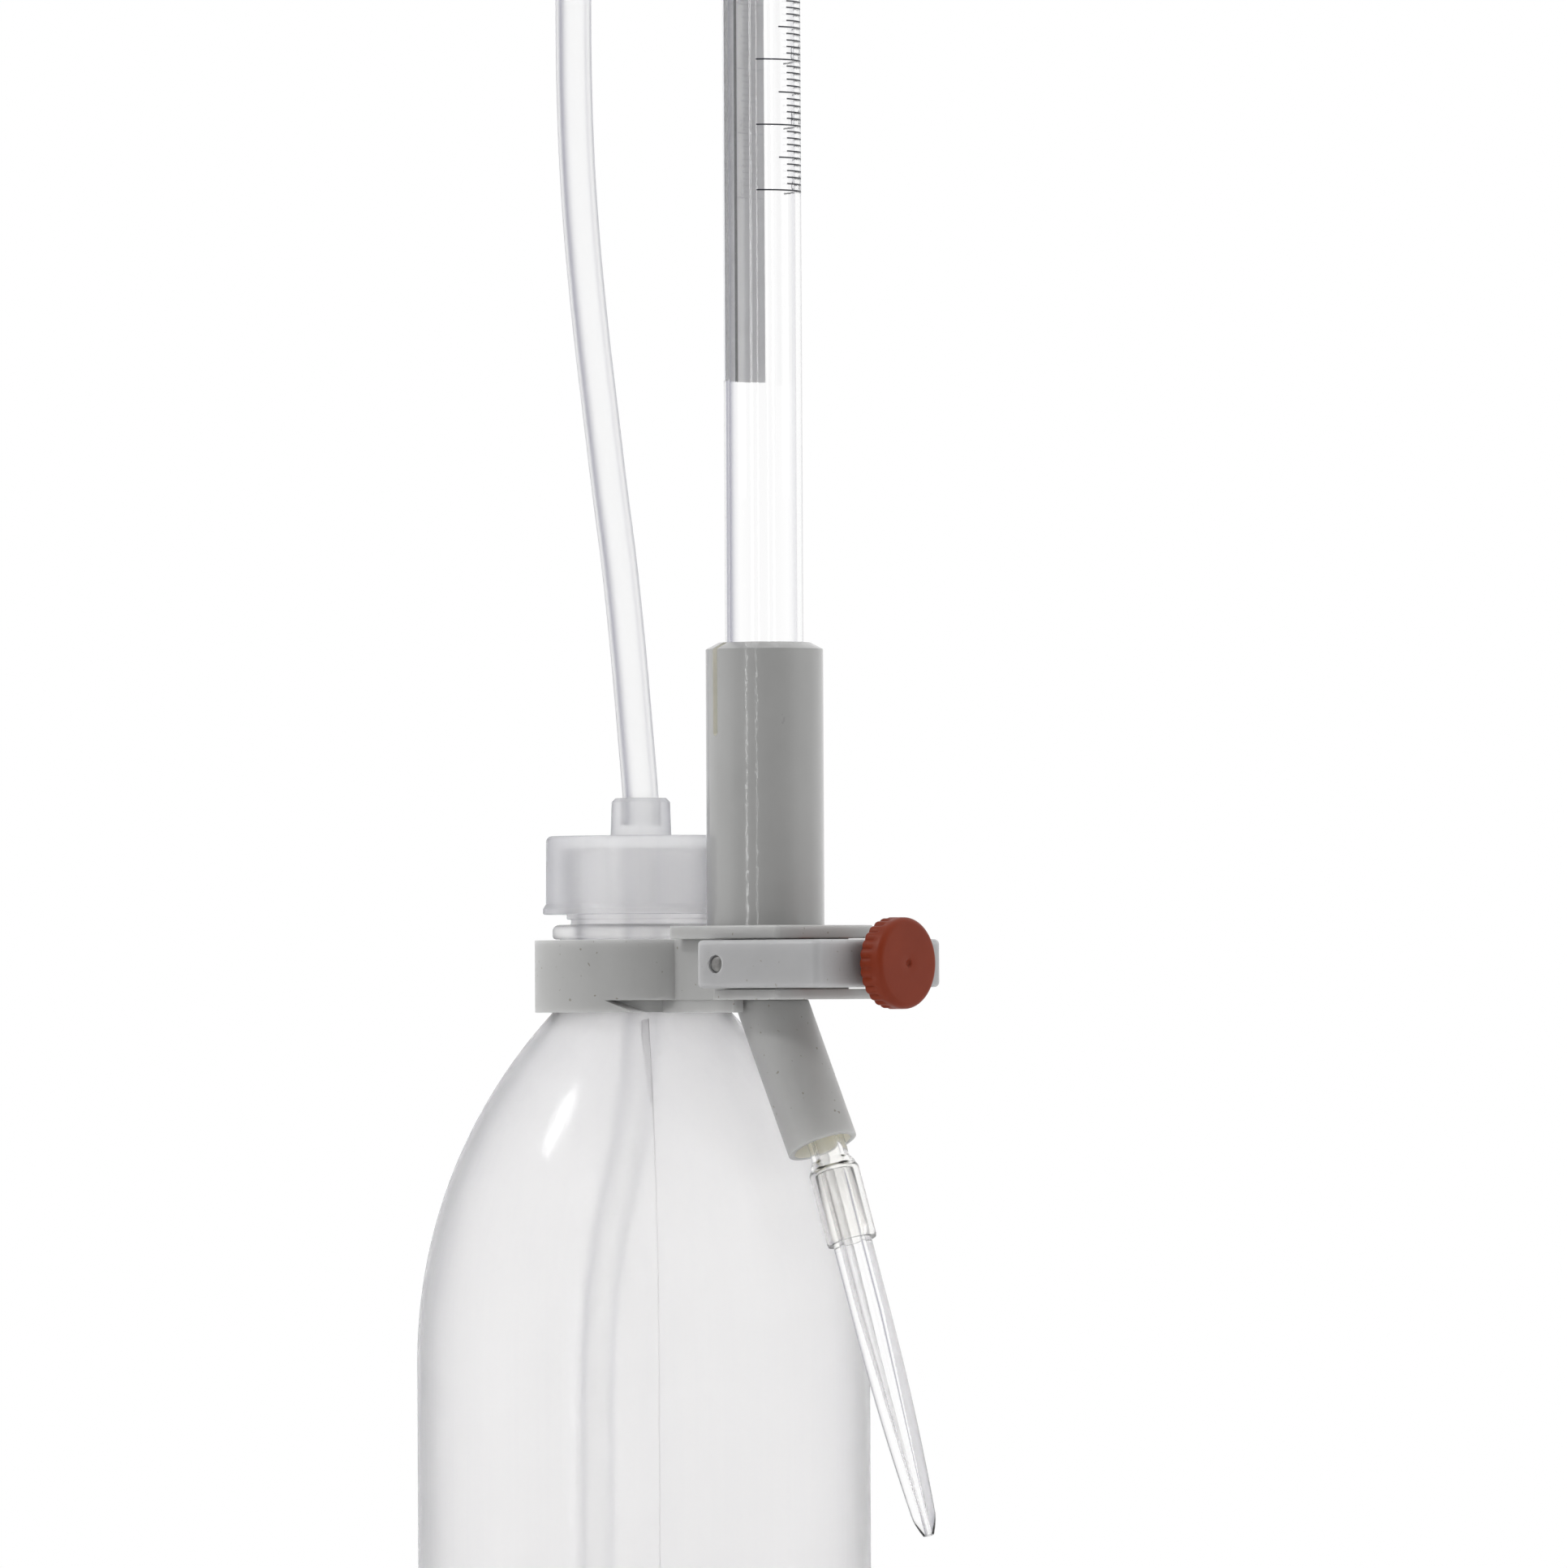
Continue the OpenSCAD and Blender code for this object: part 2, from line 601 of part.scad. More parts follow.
module burette_sleeve() {
    bevel_d = sleeve_bore_d + 2 * sleeve_lip;
    color([0.76, 0.76, 0.75]) translate([arm_x, 0, 0]) difference() {
        union() {
            translate([0, 0, collar_top_z]) cylinder(h = cover_t + 1, d = spigot_d);
            translate([0, 0, cover_top_z]) cylinder(h = sleeve_len - sleeve_bevel, d = sleeve_d);
            translate([0, 0, sleeve_top_z - sleeve_bevel])
                cylinder(h = sleeve_bevel, d1 = sleeve_d, d2 = bevel_d);
        }
        translate([0, 0, ledge_z]) cylinder(h = sleeve_len, d = sleeve_bore_d);
        translate([0, 0, collar_top_z - 1]) cylinder(h = sleeve_len, d = ledge_bore_d);
        rotate([0, 0, slit_angle]) translate([0, 0, sleeve_top_z - slit_len]) {
            translate([0, -slit_w / 2, slit_w / 2]) cube([sleeve_d, slit_w, slit_len]);
            translate([0, 0, slit_w / 2]) rotate([0, 90, 0]) cylinder(h = sleeve_d, d = slit_w);
        }
    }
}

module spout_tube() {
    trim = 2 * spout_d;
    color([0.76, 0.76, 0.75]) difference() {
        leaning(spout_x, block_z, spout_tilt) translate([0, 0, -spout_d]) difference() {
            cylinder(h = spout_len + spout_d, d = spout_d);
            translate([0, 0, -1]) cylinder(h = spout_len + spout_d + 2, d = spout_bore_d);
        }
        translate([spout_x - trim, -trim, block_z]) cube(2 * trim);
    }
}

// Glass and head

module burette_tube() {
    bore_r = glass_r - glass_wall;
    color([0.85, 0.92, 0.95, 0.4]) translate([arm_x, 0, glass_z]) rotate_extrude() polygon([
        [nipple_bore_d / 2, -nipple_len], [nipple_d / 2, -nipple_len], [nipple_d / 2, 0], [glass_r, 0],
        [glass_r, glass_len], [bore_r, glass_len], [bore_r, glass_foot + glass_cone],
        [nipple_bore_d / 2, glass_foot]
    ]);
}

module seat_ring() {
    color([0.25, 0.25, 0.25]) translate([arm_x, 0, ledge_z]) difference() {
        cylinder(h = seat_ring_t, d = glass_d);
        translate([0, 0, -1]) cylinder(h = seat_ring_t + 2, d = ledge_bore_d);
    }
}

module zero_tube() {
    color([0.85, 0.92, 0.95, 0.4]) translate([arm_x, 0, glass_top_z - zero_depth]) difference() {
        cylinder(h = zero_depth + zero_stop_h - fit_play, d = zero_d);
        translate([0, 0, -1]) cylinder(h = 2 * zero_depth, d = zero_bore_d);
    }
}

module head_cap() {
    neck_hole_d = glass_d + 2 * fit_play;
    vent_x = (glass_d - 2 * glass_wall + zero_d) / 4;
    color([0.92, 0.92, 0.94, 0.8]) difference() {
        union() {
            translate([arm_x, 0, 0]) rotate_extrude() {
                translate([0, glass_top_z - skirt_len]) square([head_d / 2, skirt_len + head_h - head_round]);
                translate([0, head_top_z - 2 * head_round]) square([head_d / 2 - head_round, 2 * head_round]);
                translate([head_d / 2 - head_round, head_top_z - head_round]) circle(head_round);
            }
            translate([side_mouth_x, 0, side_nozzle_z]) rotate([0, 90, 0])
                cylinder(h = arm_x - side_mouth_x, d = nozzle_tip_d);
        }
        translate([arm_x, 0, glass_top_z - skirt_len - 1]) cylinder(h = skirt_len + 1, d = neck_hole_d);
        translate([side_mouth_x - 1, 0, side_nozzle_z]) rotate([0, 90, 0])
            cylinder(h = side_seat_x - side_mouth_x + 1, d = hose_hole_d);
        translate([side_mouth_x, 0, side_nozzle_z]) rotate([0, 90, 0])
            cylinder(h = arm_x - side_mouth_x, d = hose_bore_d);
        translate([arm_x, 0, glass_top_z - 1])
            cylinder(h = zero_stop_h + 1, d = zero_d + 2 * fit_play);
        translate([arm_x, 0, glass_top_z]) cylinder(h = side_nozzle_h, d = zero_bore_d);
        translate([arm_x + vent_x, 0, glass_top_z - 1]) cylinder(h = head_h + 2, d = vent_d);
    }
}

// Pinch tube and tip

// The part of the pinch tube that is pressed flat, thin along X and wide along Y
module pressed_part(low_z, flat_low_z, flat_top_z, top_z) {
    thin = (pinch_flat - slide_play) / 2;
    translate([arm_x, 0, 0]) intersection() {
        rotate_extrude() polygon([
            [0, low_z], [pinch_d / 2, low_z], [pinch_wide / 2, flat_low_z],
            [pinch_wide / 2, flat_top_z], [pinch_d / 2, top_z], [0, top_z]
        ]);
        translate([0, pinch_d, 0]) rotate([90, 0, 0]) linear_extrude(2 * pinch_d) polygon([
            [-pinch_d / 2, low_z], [pinch_d / 2, low_z], [thin, flat_low_z], [thin, flat_top_z],
            [pinch_d / 2, top_z], [-pinch_d / 2, top_z], [-thin, flat_top_z], [-thin, flat_low_z]
        ]);
    }
}

module pinch_tube() {
    flat_top_z = axis_z + pinch_half_h;
    flat_low_z = axis_z - pinch_half_h;
    blend_top_z = flat_top_z + pinch_blend;
    blend_low_z = max(flat_low_z - pinch_blend, tube_joint_z);
    tube_top_z = glass_z - seat_play;
    swell_z = glass_z - nipple_len - 0.5;
    over_len = tip_neck + tip_swell;
    color([0.9, 0.88, 0.8]) difference() {
        union() {
            pressed_part(blend_low_z, flat_low_z, flat_top_z, blend_top_z);
            translate([arm_x, 0, blend_top_z]) cylinder(h = swell_z - 1 - blend_top_z, d = pinch_d);
            translate([arm_x, 0, swell_z - 1]) cylinder(h = 1, d1 = pinch_d, d2 = nipple_sleeve_d);
            translate([arm_x, 0, swell_z]) cylinder(h = tube_top_z - swell_z, d = nipple_sleeve_d);
            translate([arm_x, 0, tube_joint_z]) cylinder(h = blend_low_z - tube_joint_z, d = pinch_d);
            translate([arm_x, 0, tube_joint_z]) sphere(d = pinch_d + knee);
            leaning(arm_x, tube_joint_z, run_tilt) cylinder(h = run_len, d = pinch_d);
            translate([tip_joint_x, 0, tip_joint_z]) sphere(d = pinch_d + knee);
            leaning(tip_joint_x, tip_joint_z, tip_tilt) {
                cylinder(h = tip_neck, d = pinch_d);
                translate([0, 0, tip_neck]) cylinder(h = tip_swell, d1 = pinch_d, d2 = grip_d);
                translate([0, 0, over_len]) cylinder(h = tip_grip, d = grip_d);
            }
        }
        translate([arm_x, 0, swell_z + 0.5]) cylinder(h = tube_top_z, d = nipple_grip_d);
        translate([arm_x, 0, blend_top_z - 1]) cylinder(h = swell_z - blend_top_z + 2, d = pinch_bore_d);
        leaning(arm_x, tube_joint_z, run_tilt) translate([0, 0, 1]) cylinder(h = run_len - 1, d = pinch_bore_d);
        translate([tip_joint_x, 0, tip_joint_z]) sphere(d = pinch_bore_d + knee);
        leaning(tip_joint_x, tip_joint_z, tip_tilt) {
            cylinder(h = over_len + 1, d = pinch_bore_d);
            translate([0, 0, over_len]) cylinder(h = tip_grip + 1, d = grip_bore_d);
        }
    }
}

module glass_tip() {
    steps = 12;
    taper_from = tip_len - tip_bevel - tip_taper;
    function taper_r(t) = tip_d / 2 - (tip_d - tip_end_d) / 2 * t * t;
    outline = concat(
        [[tip_bore_d / 2, 0], [tip_d / 2, 0]],
        [for (i = [0 : steps]) [taper_r(i / steps), taper_from + tip_taper * i / steps]],
        [[tip_mouth_d / 2, tip_len], [tip_hole_d / 2, tip_len],
            [tip_hole_d / 2, tip_len - tip_bevel], [tip_bore_d / 2, taper_from]]
    );
    color([0.85, 0.92, 0.95, 0.5]) leaning(tip_joint_x, tip_joint_z, tip_tilt)
        translate([0, 0, tip_neck + tip_swell + fit_play]) rotate_extrude() polygon(outline);
}

// Yoke, slide, spring, screw and knob

module yoke() {
    length = yoke_front_x - yoke_rear_x;
    mid_x = (yoke_front_x + yoke_rear_x) / 2;
    color([0.88, 0.88, 0.88]) difference() {
        translate([mid_x, 0, axis_z]) intersection() {
            translate([0, 0, -yoke_h / 2]) linear_extrude(yoke_h) rounded_rect([length, yoke_w], yoke_round);
            translate([0, yoke_w / 2, 0]) rotate([90, 0, 0]) linear_extrude(yoke_w)
                rounded_rect([length, yoke_h], yoke_round);
            translate([-length / 2, 0, 0]) rotate([90, 0, 90]) linear_extrude(length)
                rounded_rect([yoke_w, yoke_h], yoke_round);
        }
        span(yoke_rear_x - 1, yoke_inner_x, 2 * arm_inner, axis_z - yoke_h, axis_z + yoke_h);
        translate([pin_x, yoke_w, axis_z]) rotate([90, 0, 0]) cylinder(h = 2 * yoke_w, d = pin_d + 2 * fit_play);
        translate([yoke_inner_x - 1, 0, axis_z]) rotate([0, 90, 0])
            cylinder(h = yoke_bar + 2, d = screw_d + 2 * running_play);
    }
}

module guide_pins() {
    color([0.6, 0.6, 0.62]) for (s = [-1, 1])
        translate([pin_x, s * (pin_in + pin_out) / 2, axis_z]) rotate([90, 0, 0])
            cylinder(h = pin_out - pin_in, d = pin_d, center = true);
}

module pinch_slide() {
    color([0.8, 0.3, 0.15]) {
        difference() {
            span(slide_rear_x, slide_front_x, slide_w, slide_z, slide_top_z);
            span(window_rear_x, window_front_x, window_w, slide_z - 1, slide_top_z + 1);
        }
        nose(window_rear_x - pinch_bar / 2, bar_tip_x, window_w);
    }
}

module return_spring() {
    rings_per_turn = 8;
    sides = 6;
    rings = rings_per_turn * spring_turns + 1;
    length = spring_room - spring_wire - 2 * slide_play;
    start_x = anvil_front_x + spring_wire / 2 + slide_play;
    color([0.65, 0.65, 0.68]) translate([start_x, 0, axis_z]) polyhedron(
        [for (i = [0 : rings - 1])
            each helix_ring(i / (rings - 1), spring_turns, spring_d / 2, length, spring_wire / 2, sides)],
        tube_faces(rings, sides));
}

module adjusting_screw() {
    color([0.65, 0.65, 0.68]) translate([screw_tip_x, 0, axis_z]) rotate([0, 90, 0])
        cylinder(h = screw_head_x - screw_tip_x, d = screw_d);
}

module knob() {
    core_r = knob_d / 2 - rib_r;
    color([0.85, 0.32, 0.2]) translate([knob_back_x, 0, axis_z]) rotate([0, 90, 0]) difference() {
        intersection() {
            union() {
                cylinder(h = knob_t, r = core_r);
                translate([0, 0, knob_t - knob_plain - knob_round])
                    cylinder(h = knob_plain + knob_round, r = knob_d / 2 - knob_round / 4);
                for (i = [0 : knob_ribs - 1])
                    rotate([0, 0, 360 * i / knob_ribs]) translate([core_r, 0, 0])
                        cylinder(h = knob_t - knob_plain, r = rib_r, $fn = 24);
            }
            rotate_extrude() {
                square([knob_d / 2, knob_t - knob_round]);
                square([knob_d / 2 - knob_round, knob_t]);
                translate([knob_d / 2 - knob_round, knob_t - knob_round]) circle(knob_round);
            }
        }
        translate([0, 0, -1]) cylinder(h = knob_socket + fit_play + 1, d = screw_d + 2 * fit_play);
        translate([0, 0, knob_t - dimple_deep]) cylinder(h = 1, r = dimple_r);
    }
}

bottle();
screw_cap();
riser_tube();
fill_hose();
holder();
valve_cover();
burette_sleeve();
spout_tube();
burette_tube();
seat_ring();
zero_tube();
head_cap();
pinch_tube();
glass_tip();
yoke();
guide_pins();
pinch_slide();
return_spring();
adjusting_screw();
knob();
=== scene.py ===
"""Looks of a bottle-mounted automatic burette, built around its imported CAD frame."""

import json
import math

import bmesh
import bpy
from mathutils import Matrix, Vector

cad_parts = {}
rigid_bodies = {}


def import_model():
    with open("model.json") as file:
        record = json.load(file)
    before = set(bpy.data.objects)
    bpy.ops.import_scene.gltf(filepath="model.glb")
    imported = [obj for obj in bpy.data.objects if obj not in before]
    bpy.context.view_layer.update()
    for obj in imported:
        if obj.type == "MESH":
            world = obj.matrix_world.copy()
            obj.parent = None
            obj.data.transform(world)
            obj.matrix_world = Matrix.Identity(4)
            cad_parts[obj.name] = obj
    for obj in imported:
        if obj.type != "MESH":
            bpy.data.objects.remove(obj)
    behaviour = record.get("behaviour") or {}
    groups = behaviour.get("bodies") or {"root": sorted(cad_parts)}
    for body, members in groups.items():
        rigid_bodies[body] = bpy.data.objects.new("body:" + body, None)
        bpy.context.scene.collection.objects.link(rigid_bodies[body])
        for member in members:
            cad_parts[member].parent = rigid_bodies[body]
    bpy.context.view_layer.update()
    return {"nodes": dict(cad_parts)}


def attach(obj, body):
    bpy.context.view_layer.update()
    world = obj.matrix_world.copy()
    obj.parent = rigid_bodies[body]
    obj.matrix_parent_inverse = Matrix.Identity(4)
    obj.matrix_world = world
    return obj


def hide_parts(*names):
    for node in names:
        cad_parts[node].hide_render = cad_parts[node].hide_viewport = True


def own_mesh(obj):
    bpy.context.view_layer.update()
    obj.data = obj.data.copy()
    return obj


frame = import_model()
nodes = frame["nodes"]

MM = 0.001
TAU = 2 * math.pi

# The photograph's frame and camera
IMAGE_W = 1931
PIXELS_PER_MM = 7.41
CAMERA_DISTANCE = 2000
CAMERA_HEIGHT = 160
CAMERA_AZIMUTH = math.radians(40)
CAMERA_SIDE = 23.73
CAMERA_TILT = math.radians(0.968)
CAMERA_ROLL = math.radians(0.3)
SENSOR_MM = 36

# Sizes from the CAD part, in millimetres
BOTTLE_R = 37.6
BOTTLE_WALL = 1.2
BODY_H = 98
SEAT_Z = 156
BASE_ROUND = 6
BASE_T = 3
SEAT_R = 14.8
NECK_R = 13.5
NECK_BORE_R = 10.2
ARM_X = 27
AXIS_Z = 163.85
GLASS_R = 6.45
GLASS_BORE_R = 5.45
GLASS_Z = 178
GLASS_TOP = 594
ML = 10.755
ZERO_Z = 560
SCALE_ML = 25

# Heights over which the bottle's colour darkens toward the collar, a painted shade under the collar, in
# millimetres
SHOULDER_LOW = 126
SHOULDER_HIGH = 152
NECK_Z = 160

# Directions as the camera sees them
VIEW = Vector((math.sin(CAMERA_AZIMUTH), -math.cos(CAMERA_AZIMUTH), 0))
RIGHT = Vector((math.cos(CAMERA_AZIMUTH), math.sin(CAMERA_AZIMUTH), 0))
UP = Vector((0, 0, 1))
VIEW_ANGLE = math.atan2(VIEW.y, VIEW.x)


# Camera

def make_camera():
    """The photo's camera: far away, a little below the valve, with a slight roll."""
    data = bpy.data.cameras.new("camera")
    data.sensor_width = SENSOR_MM
    data.lens = SENSOR_MM * PIXELS_PER_MM * CAMERA_DISTANCE / IMAGE_W
    data.clip_start = 0.05
    data.clip_end = 50
    obj = bpy.data.objects.new("camera", data)
    bpy.context.scene.collection.objects.link(obj)
    place = VIEW * CAMERA_DISTANCE + RIGHT * CAMERA_SIDE + UP * CAMERA_HEIGHT
    ahead = (-VIEW * math.cos(CAMERA_TILT) + UP * math.sin(CAMERA_TILT)).normalized()
    up = RIGHT.cross(ahead).normalized()
    turn = Matrix.Rotation(CAMERA_ROLL, 3, ahead)
    right = turn @ RIGHT
    up = turn @ up
    pose = Matrix((right, up, -ahead)).transposed().to_4x4()
    pose.translation = place * MM
    obj.matrix_world = pose
    bpy.context.scene.camera = obj


make_camera()


# Mesh helpers

def link(name, mesh, material, body, smooth_angle=35):
    """A smooth-shaded object that rides on a body and shows a material."""
    obj = bpy.data.objects.new(name, mesh)
    bpy.context.scene.collection.objects.link(obj)
    mesh.materials.clear()
    mesh.materials.append(material)
    for face in mesh.polygons:
        face.use_smooth = True
    mesh.set_sharp_from_angle(angle=math.radians(smooth_angle))
    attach(obj, body)
    return obj


def mesh_from(name, verts, faces):
    """A mesh from points in millimetres."""
    mesh = bpy.data.meshes.new(name)
    mesh.from_pydata([tuple(c * MM for c in v) for v in verts], [], faces)
    mesh.update()
    return mesh


def outward(mesh):
    """Turns all faces of a closed mesh outward."""
    work = bmesh.new()
    work.from_mesh(mesh)
    bmesh.ops.recalc_face_normals(work, faces=work.faces)
    work.to_mesh(mesh)
    work.free()
    return mesh


def fillet(points, steps=5, closed=True):
    """Rounds each corner (a, b, radius) of an outline; a corner without a radius stays sharp."""
    out = []
    count = len(points)
    for i, p in enumerate(points):
        here = Vector(p[:2])
        radius = p[2] if len(p) > 2 else 0
        if radius <= 0 or (not closed and i in (0, count - 1)):
            out.append((here.x, here.y))
            continue
        before = Vector(points[i - 1][:2]) - here
        after = Vector(points[(i + 1) % count][:2]) - here
        angle = before.angle(after)
        reach = min(radius / math.tan(angle / 2), before.length * 0.49, after.length * 0.49)
        radius = reach * math.tan(angle / 2)
        middle = (before.normalized() + after.normalized()).normalized()
        centre = here + middle * (radius / math.sin(angle / 2))
        start = here + before.normalized() * reach - centre
        end = here + after.normalized() * reach - centre
        for k in range(steps + 1):
            d = start
            if start.angle(end) > 1e-4:
                d = start.slerp(end, k / steps).normalized() * radius
            out.append((centre.x + d.x, centre.y + d.y))
    return out


def grid_faces(rings):
    """Faces between rings of vertex numbers, each ring joined to the next and the last to the first."""
    faces = []
    for i in range(len(rings)):
        low = rings[i]
        high = rings[(i + 1) % len(rings)]
        for k in range(len(low)):
            n = (k + 1) % len(low)
            face = []
            for v in (low[k], low[n], high[n], high[k]):
                if v not in face:
                    face.append(v)
            if len(face) > 2:
                faces.append(face)
    return faces


def lathe(name, outline, centre=(0, 0), segments=128, place=None):
    """Turns an outline of (radius, height) round the vertical; a radius of 0 becomes one point."""
    verts = []
    rings = []
    for r, z in outline:
        if r < 1e-6:
            rings.append([len(verts)] * segments)
            verts.append((centre[0], centre[1], z))
            continue
        first = len(verts)
        rings.append(list(range(first, first + segments)))
        for k in range(segments):
            a = TAU * k / segments
            verts.append((centre[0] + r * math.cos(a), centre[1] + r * math.sin(a), z))
    if place is not None:
        verts = [tuple(place @ Vector(v)) for v in verts]
    return outward(mesh_from(name, verts, grid_faces(rings)))


def leaning(x, z, tilt):
    """Frame whose +Z runs down from a point and leans toward +X."""
    return Matrix.Translation((x, 0, z)) @ Matrix.Rotation(math.pi - math.radians(tilt), 4, "Y")


def along_x(x, z):
    """Frame whose +Z runs along +X through a point of the plane of symmetry."""
    return Matrix.Translation((x, 0, z)) @ Matrix.Rotation(math.pi / 2, 4, "Y")


def catmull(points, steps):
    """Smooth curve through the points."""
    ends = [points[0] * 2 - points[1]] + points + [points[-1] * 2 - points[-2]]
    out = []
    for i in range(1, len(ends) - 2):
        a, b, c, d = ends[i - 1:i + 3]
        for k in range(steps):
            t = k / steps
            out.append(0.5 * (2 * b + (c - a) * t + (2 * a - 5 * b + 4 * c - d) * t * t
                              + (3 * b - a - 3 * c + d) * t ** 3))
    out.append(points[-1])
    return out


def sweep(name, path, sections, segments=32):
    """Hollow tube in the plane Y = 0.

    Each section gives the outer radius in the plane and across it, then the same two of the bore.
    """
    verts = []
    count = len(path)
    for layer in (0, 2):
        for i, p in enumerate(path):
            ahead = (path[min(i + 1, count - 1)] - path[max(i - 1, 0)]).normalized()
            side = Vector((ahead.z, 0, -ahead.x))
            for k in range(segments):
                a = TAU * k / segments
                verts.append(p + side * (sections[i][layer] * math.cos(a))
                             + Vector((0, sections[i][layer + 1] * math.sin(a), 0)))
    inner = count * segments
    last = (count - 1) * segments
    faces = []
    for k in range(segments):
        n = (k + 1) % segments
        for i in range(count - 1):
            a = i * segments
            b = a + segments
            faces.append((a + k, a + n, b + n, b + k))
            faces.append((inner + a + n, inner + a + k, inner + b + k, inner + b + n))
        faces.append((n, k, inner + k, inner + n))
        faces.append((last + k, last + n, inner + last + n, inner + last + k))
    return outward(mesh_from(name, verts, faces))


def softened(node, name, material, width, body="frame"):
    """A copy of a CAD node with its flat faces joined and its edges rounded, which stands for that node."""
    mesh = nodes[node].data.copy()
    mesh.name = name
    work = bmesh.new()
    work.from_mesh(mesh)
    bmesh.ops.remove_doubles(work, verts=work.verts, dist=1e-6)
    bmesh.ops.dissolve_limit(work, angle_limit=math.radians(0.5), verts=work.verts, edges=work.edges)
    bmesh.ops.recalc_face_normals(work, faces=work.faces)
    work.to_mesh(mesh)
    work.free()
    for old in [a.name for a in mesh.attributes if a.name == "custom_normal"]:
        mesh.attributes.remove(mesh.attributes[old])
    obj = link(name, mesh, material, body)
    bevel = obj.modifiers.new("edges", "BEVEL")
    bevel.width = width * MM
    bevel.segments = 2
    bevel.limit_method = "ANGLE"
    bevel.angle_limit = math.radians(40)
    bevel.harden_normals = True
    bevel.miter_outer = "MITER_ARC"
    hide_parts(node)
    return obj


# Materials

def new_material(name):
    """A material with its node tree and its main shader."""
    material = bpy.data.materials.new(name)
    material.use_nodes = True
    tree = material.node_tree
    shader = tree.nodes["Principled BSDF"]
    return material, tree, shader


def noise(tree, scale, detail=3.0, rough=0.5, stretch=(1, 1, 1)):
    """Noise in the object's own coordinates, with a scale per metre."""
    coord = tree.nodes.new("ShaderNodeTexCoord")
    mapping = tree.nodes.new("ShaderNodeMapping")
    mapping.inputs["Scale"].default_value = stretch
    tree.links.new(coord.outputs["Object"], mapping.inputs["Vector"])
    node = tree.nodes.new("ShaderNodeTexNoise")
    node.inputs["Scale"].default_value = scale
    node.inputs["Detail"].default_value = detail
    node.inputs["Roughness"].default_value = rough
    tree.links.new(mapping.outputs["Vector"], node.inputs["Vector"])
    return node.outputs["Fac"]


def ramp(tree, value, low, high, at=(0.3, 0.7)):
    """A colour that runs from low to high as a value goes from one place to another."""
    node = tree.nodes.new("ShaderNodeValToRGB")
    node.color_ramp.elements[0].position = at[0]
    node.color_ramp.elements[1].position = at[1]
    node.color_ramp.elements[0].color = (*low, 1)
    node.color_ramp.elements[1].color = (*high, 1)
    tree.links.new(value, node.inputs["Fac"])
    return node.outputs["Color"]


def spread(tree, value, low, high):
    """A value of 0 to 1 laid out between low and high."""
    node = tree.nodes.new("ShaderNodeMapRange")
    node.inputs["To Min"].default_value = low
    node.inputs["To Max"].default_value = high
    tree.links.new(value, node.inputs["Value"])
    return node.outputs["Result"]


def multiply(tree, first, second):
    """One colour times another."""
    node = tree.nodes.new("ShaderNodeMix")
    node.data_type = "RGBA"
    node.blend_type = "MULTIPLY"
    node.inputs["Factor"].default_value = 1.0
    tree.links.new(first, node.inputs[6])
    tree.links.new(second, node.inputs[7])
    return node.outputs[2]


def bump(tree, shader, height, strength, distance):
    """Fine relief, with its height in millimetres."""
    node = tree.nodes.new("ShaderNodeBump")
    node.inputs["Strength"].default_value = strength
    node.inputs["Distance"].default_value = distance * MM
    tree.links.new(height, node.inputs["Height"])
    tree.links.new(node.outputs["Normal"], shader.inputs["Normal"])


def toward_share(tree, source, way, start, end):
    """0 to 1 as a direction turns toward a way."""
    dot = tree.nodes.new("ShaderNodeVectorMath")
    dot.operation = "DOT_PRODUCT"
    dot.inputs[1].default_value = way
    tree.links.new(source, dot.inputs[0])
    share = tree.nodes.new("ShaderNodeMapRange")
    share.interpolation_type = "SMOOTHSTEP"
    share.inputs["From Min"].default_value = start
    share.inputs["From Max"].default_value = end
    tree.links.new(dot.outputs["Value"], share.inputs["Value"])
    return share.outputs["Result"]


def srgb(r, g, b):
    """Linear colour from display values of 0 to 255."""
    def linear(c):
        c = c / 255
        return c / 12.92 if c <= 0.04045 else ((c + 0.055) / 1.055) ** 2.4
    return linear(r), linear(g), linear(b)


def plastic(name, dark, light, rough, grain=2200, specks=0.0, stretch=(1, 1, 1), gloss=0.5, depth=0.12,
            glow=0):
    """Moulded plastic: slow colour drift, fine grain, uneven gloss, a few specks and some light inside."""
    material, tree, shader = new_material(name)
    colour = ramp(tree, noise(tree, 90, 4.0, 0.6), dark, light)
    if specks:
        spot = (1 - specks, 1 - specks * 1.1, 1 - specks * 1.3)
        colour = multiply(tree, colour, ramp(tree, noise(tree, 1300, 0.0), (1, 1, 1), spot, (0.8, 0.83)))
    tree.links.new(colour, shader.inputs["Base Color"])
    uneven = spread(tree, noise(tree, 320, 3.0), rough - 0.06, rough + 0.08)
    tree.links.new(uneven, shader.inputs["Roughness"])
    bump(tree, shader, noise(tree, grain, 2.0, 0.5, stretch), depth, 0.05)
    shader.inputs["IOR"].default_value = 1.5
    shader.inputs["Specular IOR Level"].default_value = gloss
    if glow:
        scatter(shader, glow)
    return material


def scatter(shader, depth):
    """Lets light spread inside a material to a depth in millimetres."""
    shader.inputs["Subsurface Weight"].default_value = 1.0
    shader.inputs["Subsurface Radius"].default_value = (1, 1, 1)
    shader.inputs["Subsurface Scale"].default_value = depth * MM


def edge_tint(tree, facing, edge, start):
    """One colour where a wall is seen face on, turning into another toward its edge."""
    weight = tree.nodes.new("ShaderNodeLayerWeight")
    weight.inputs["Blend"].default_value = 0.5
    return ramp(tree, weight.outputs["Facing"], facing, edge, (start, 1.0))


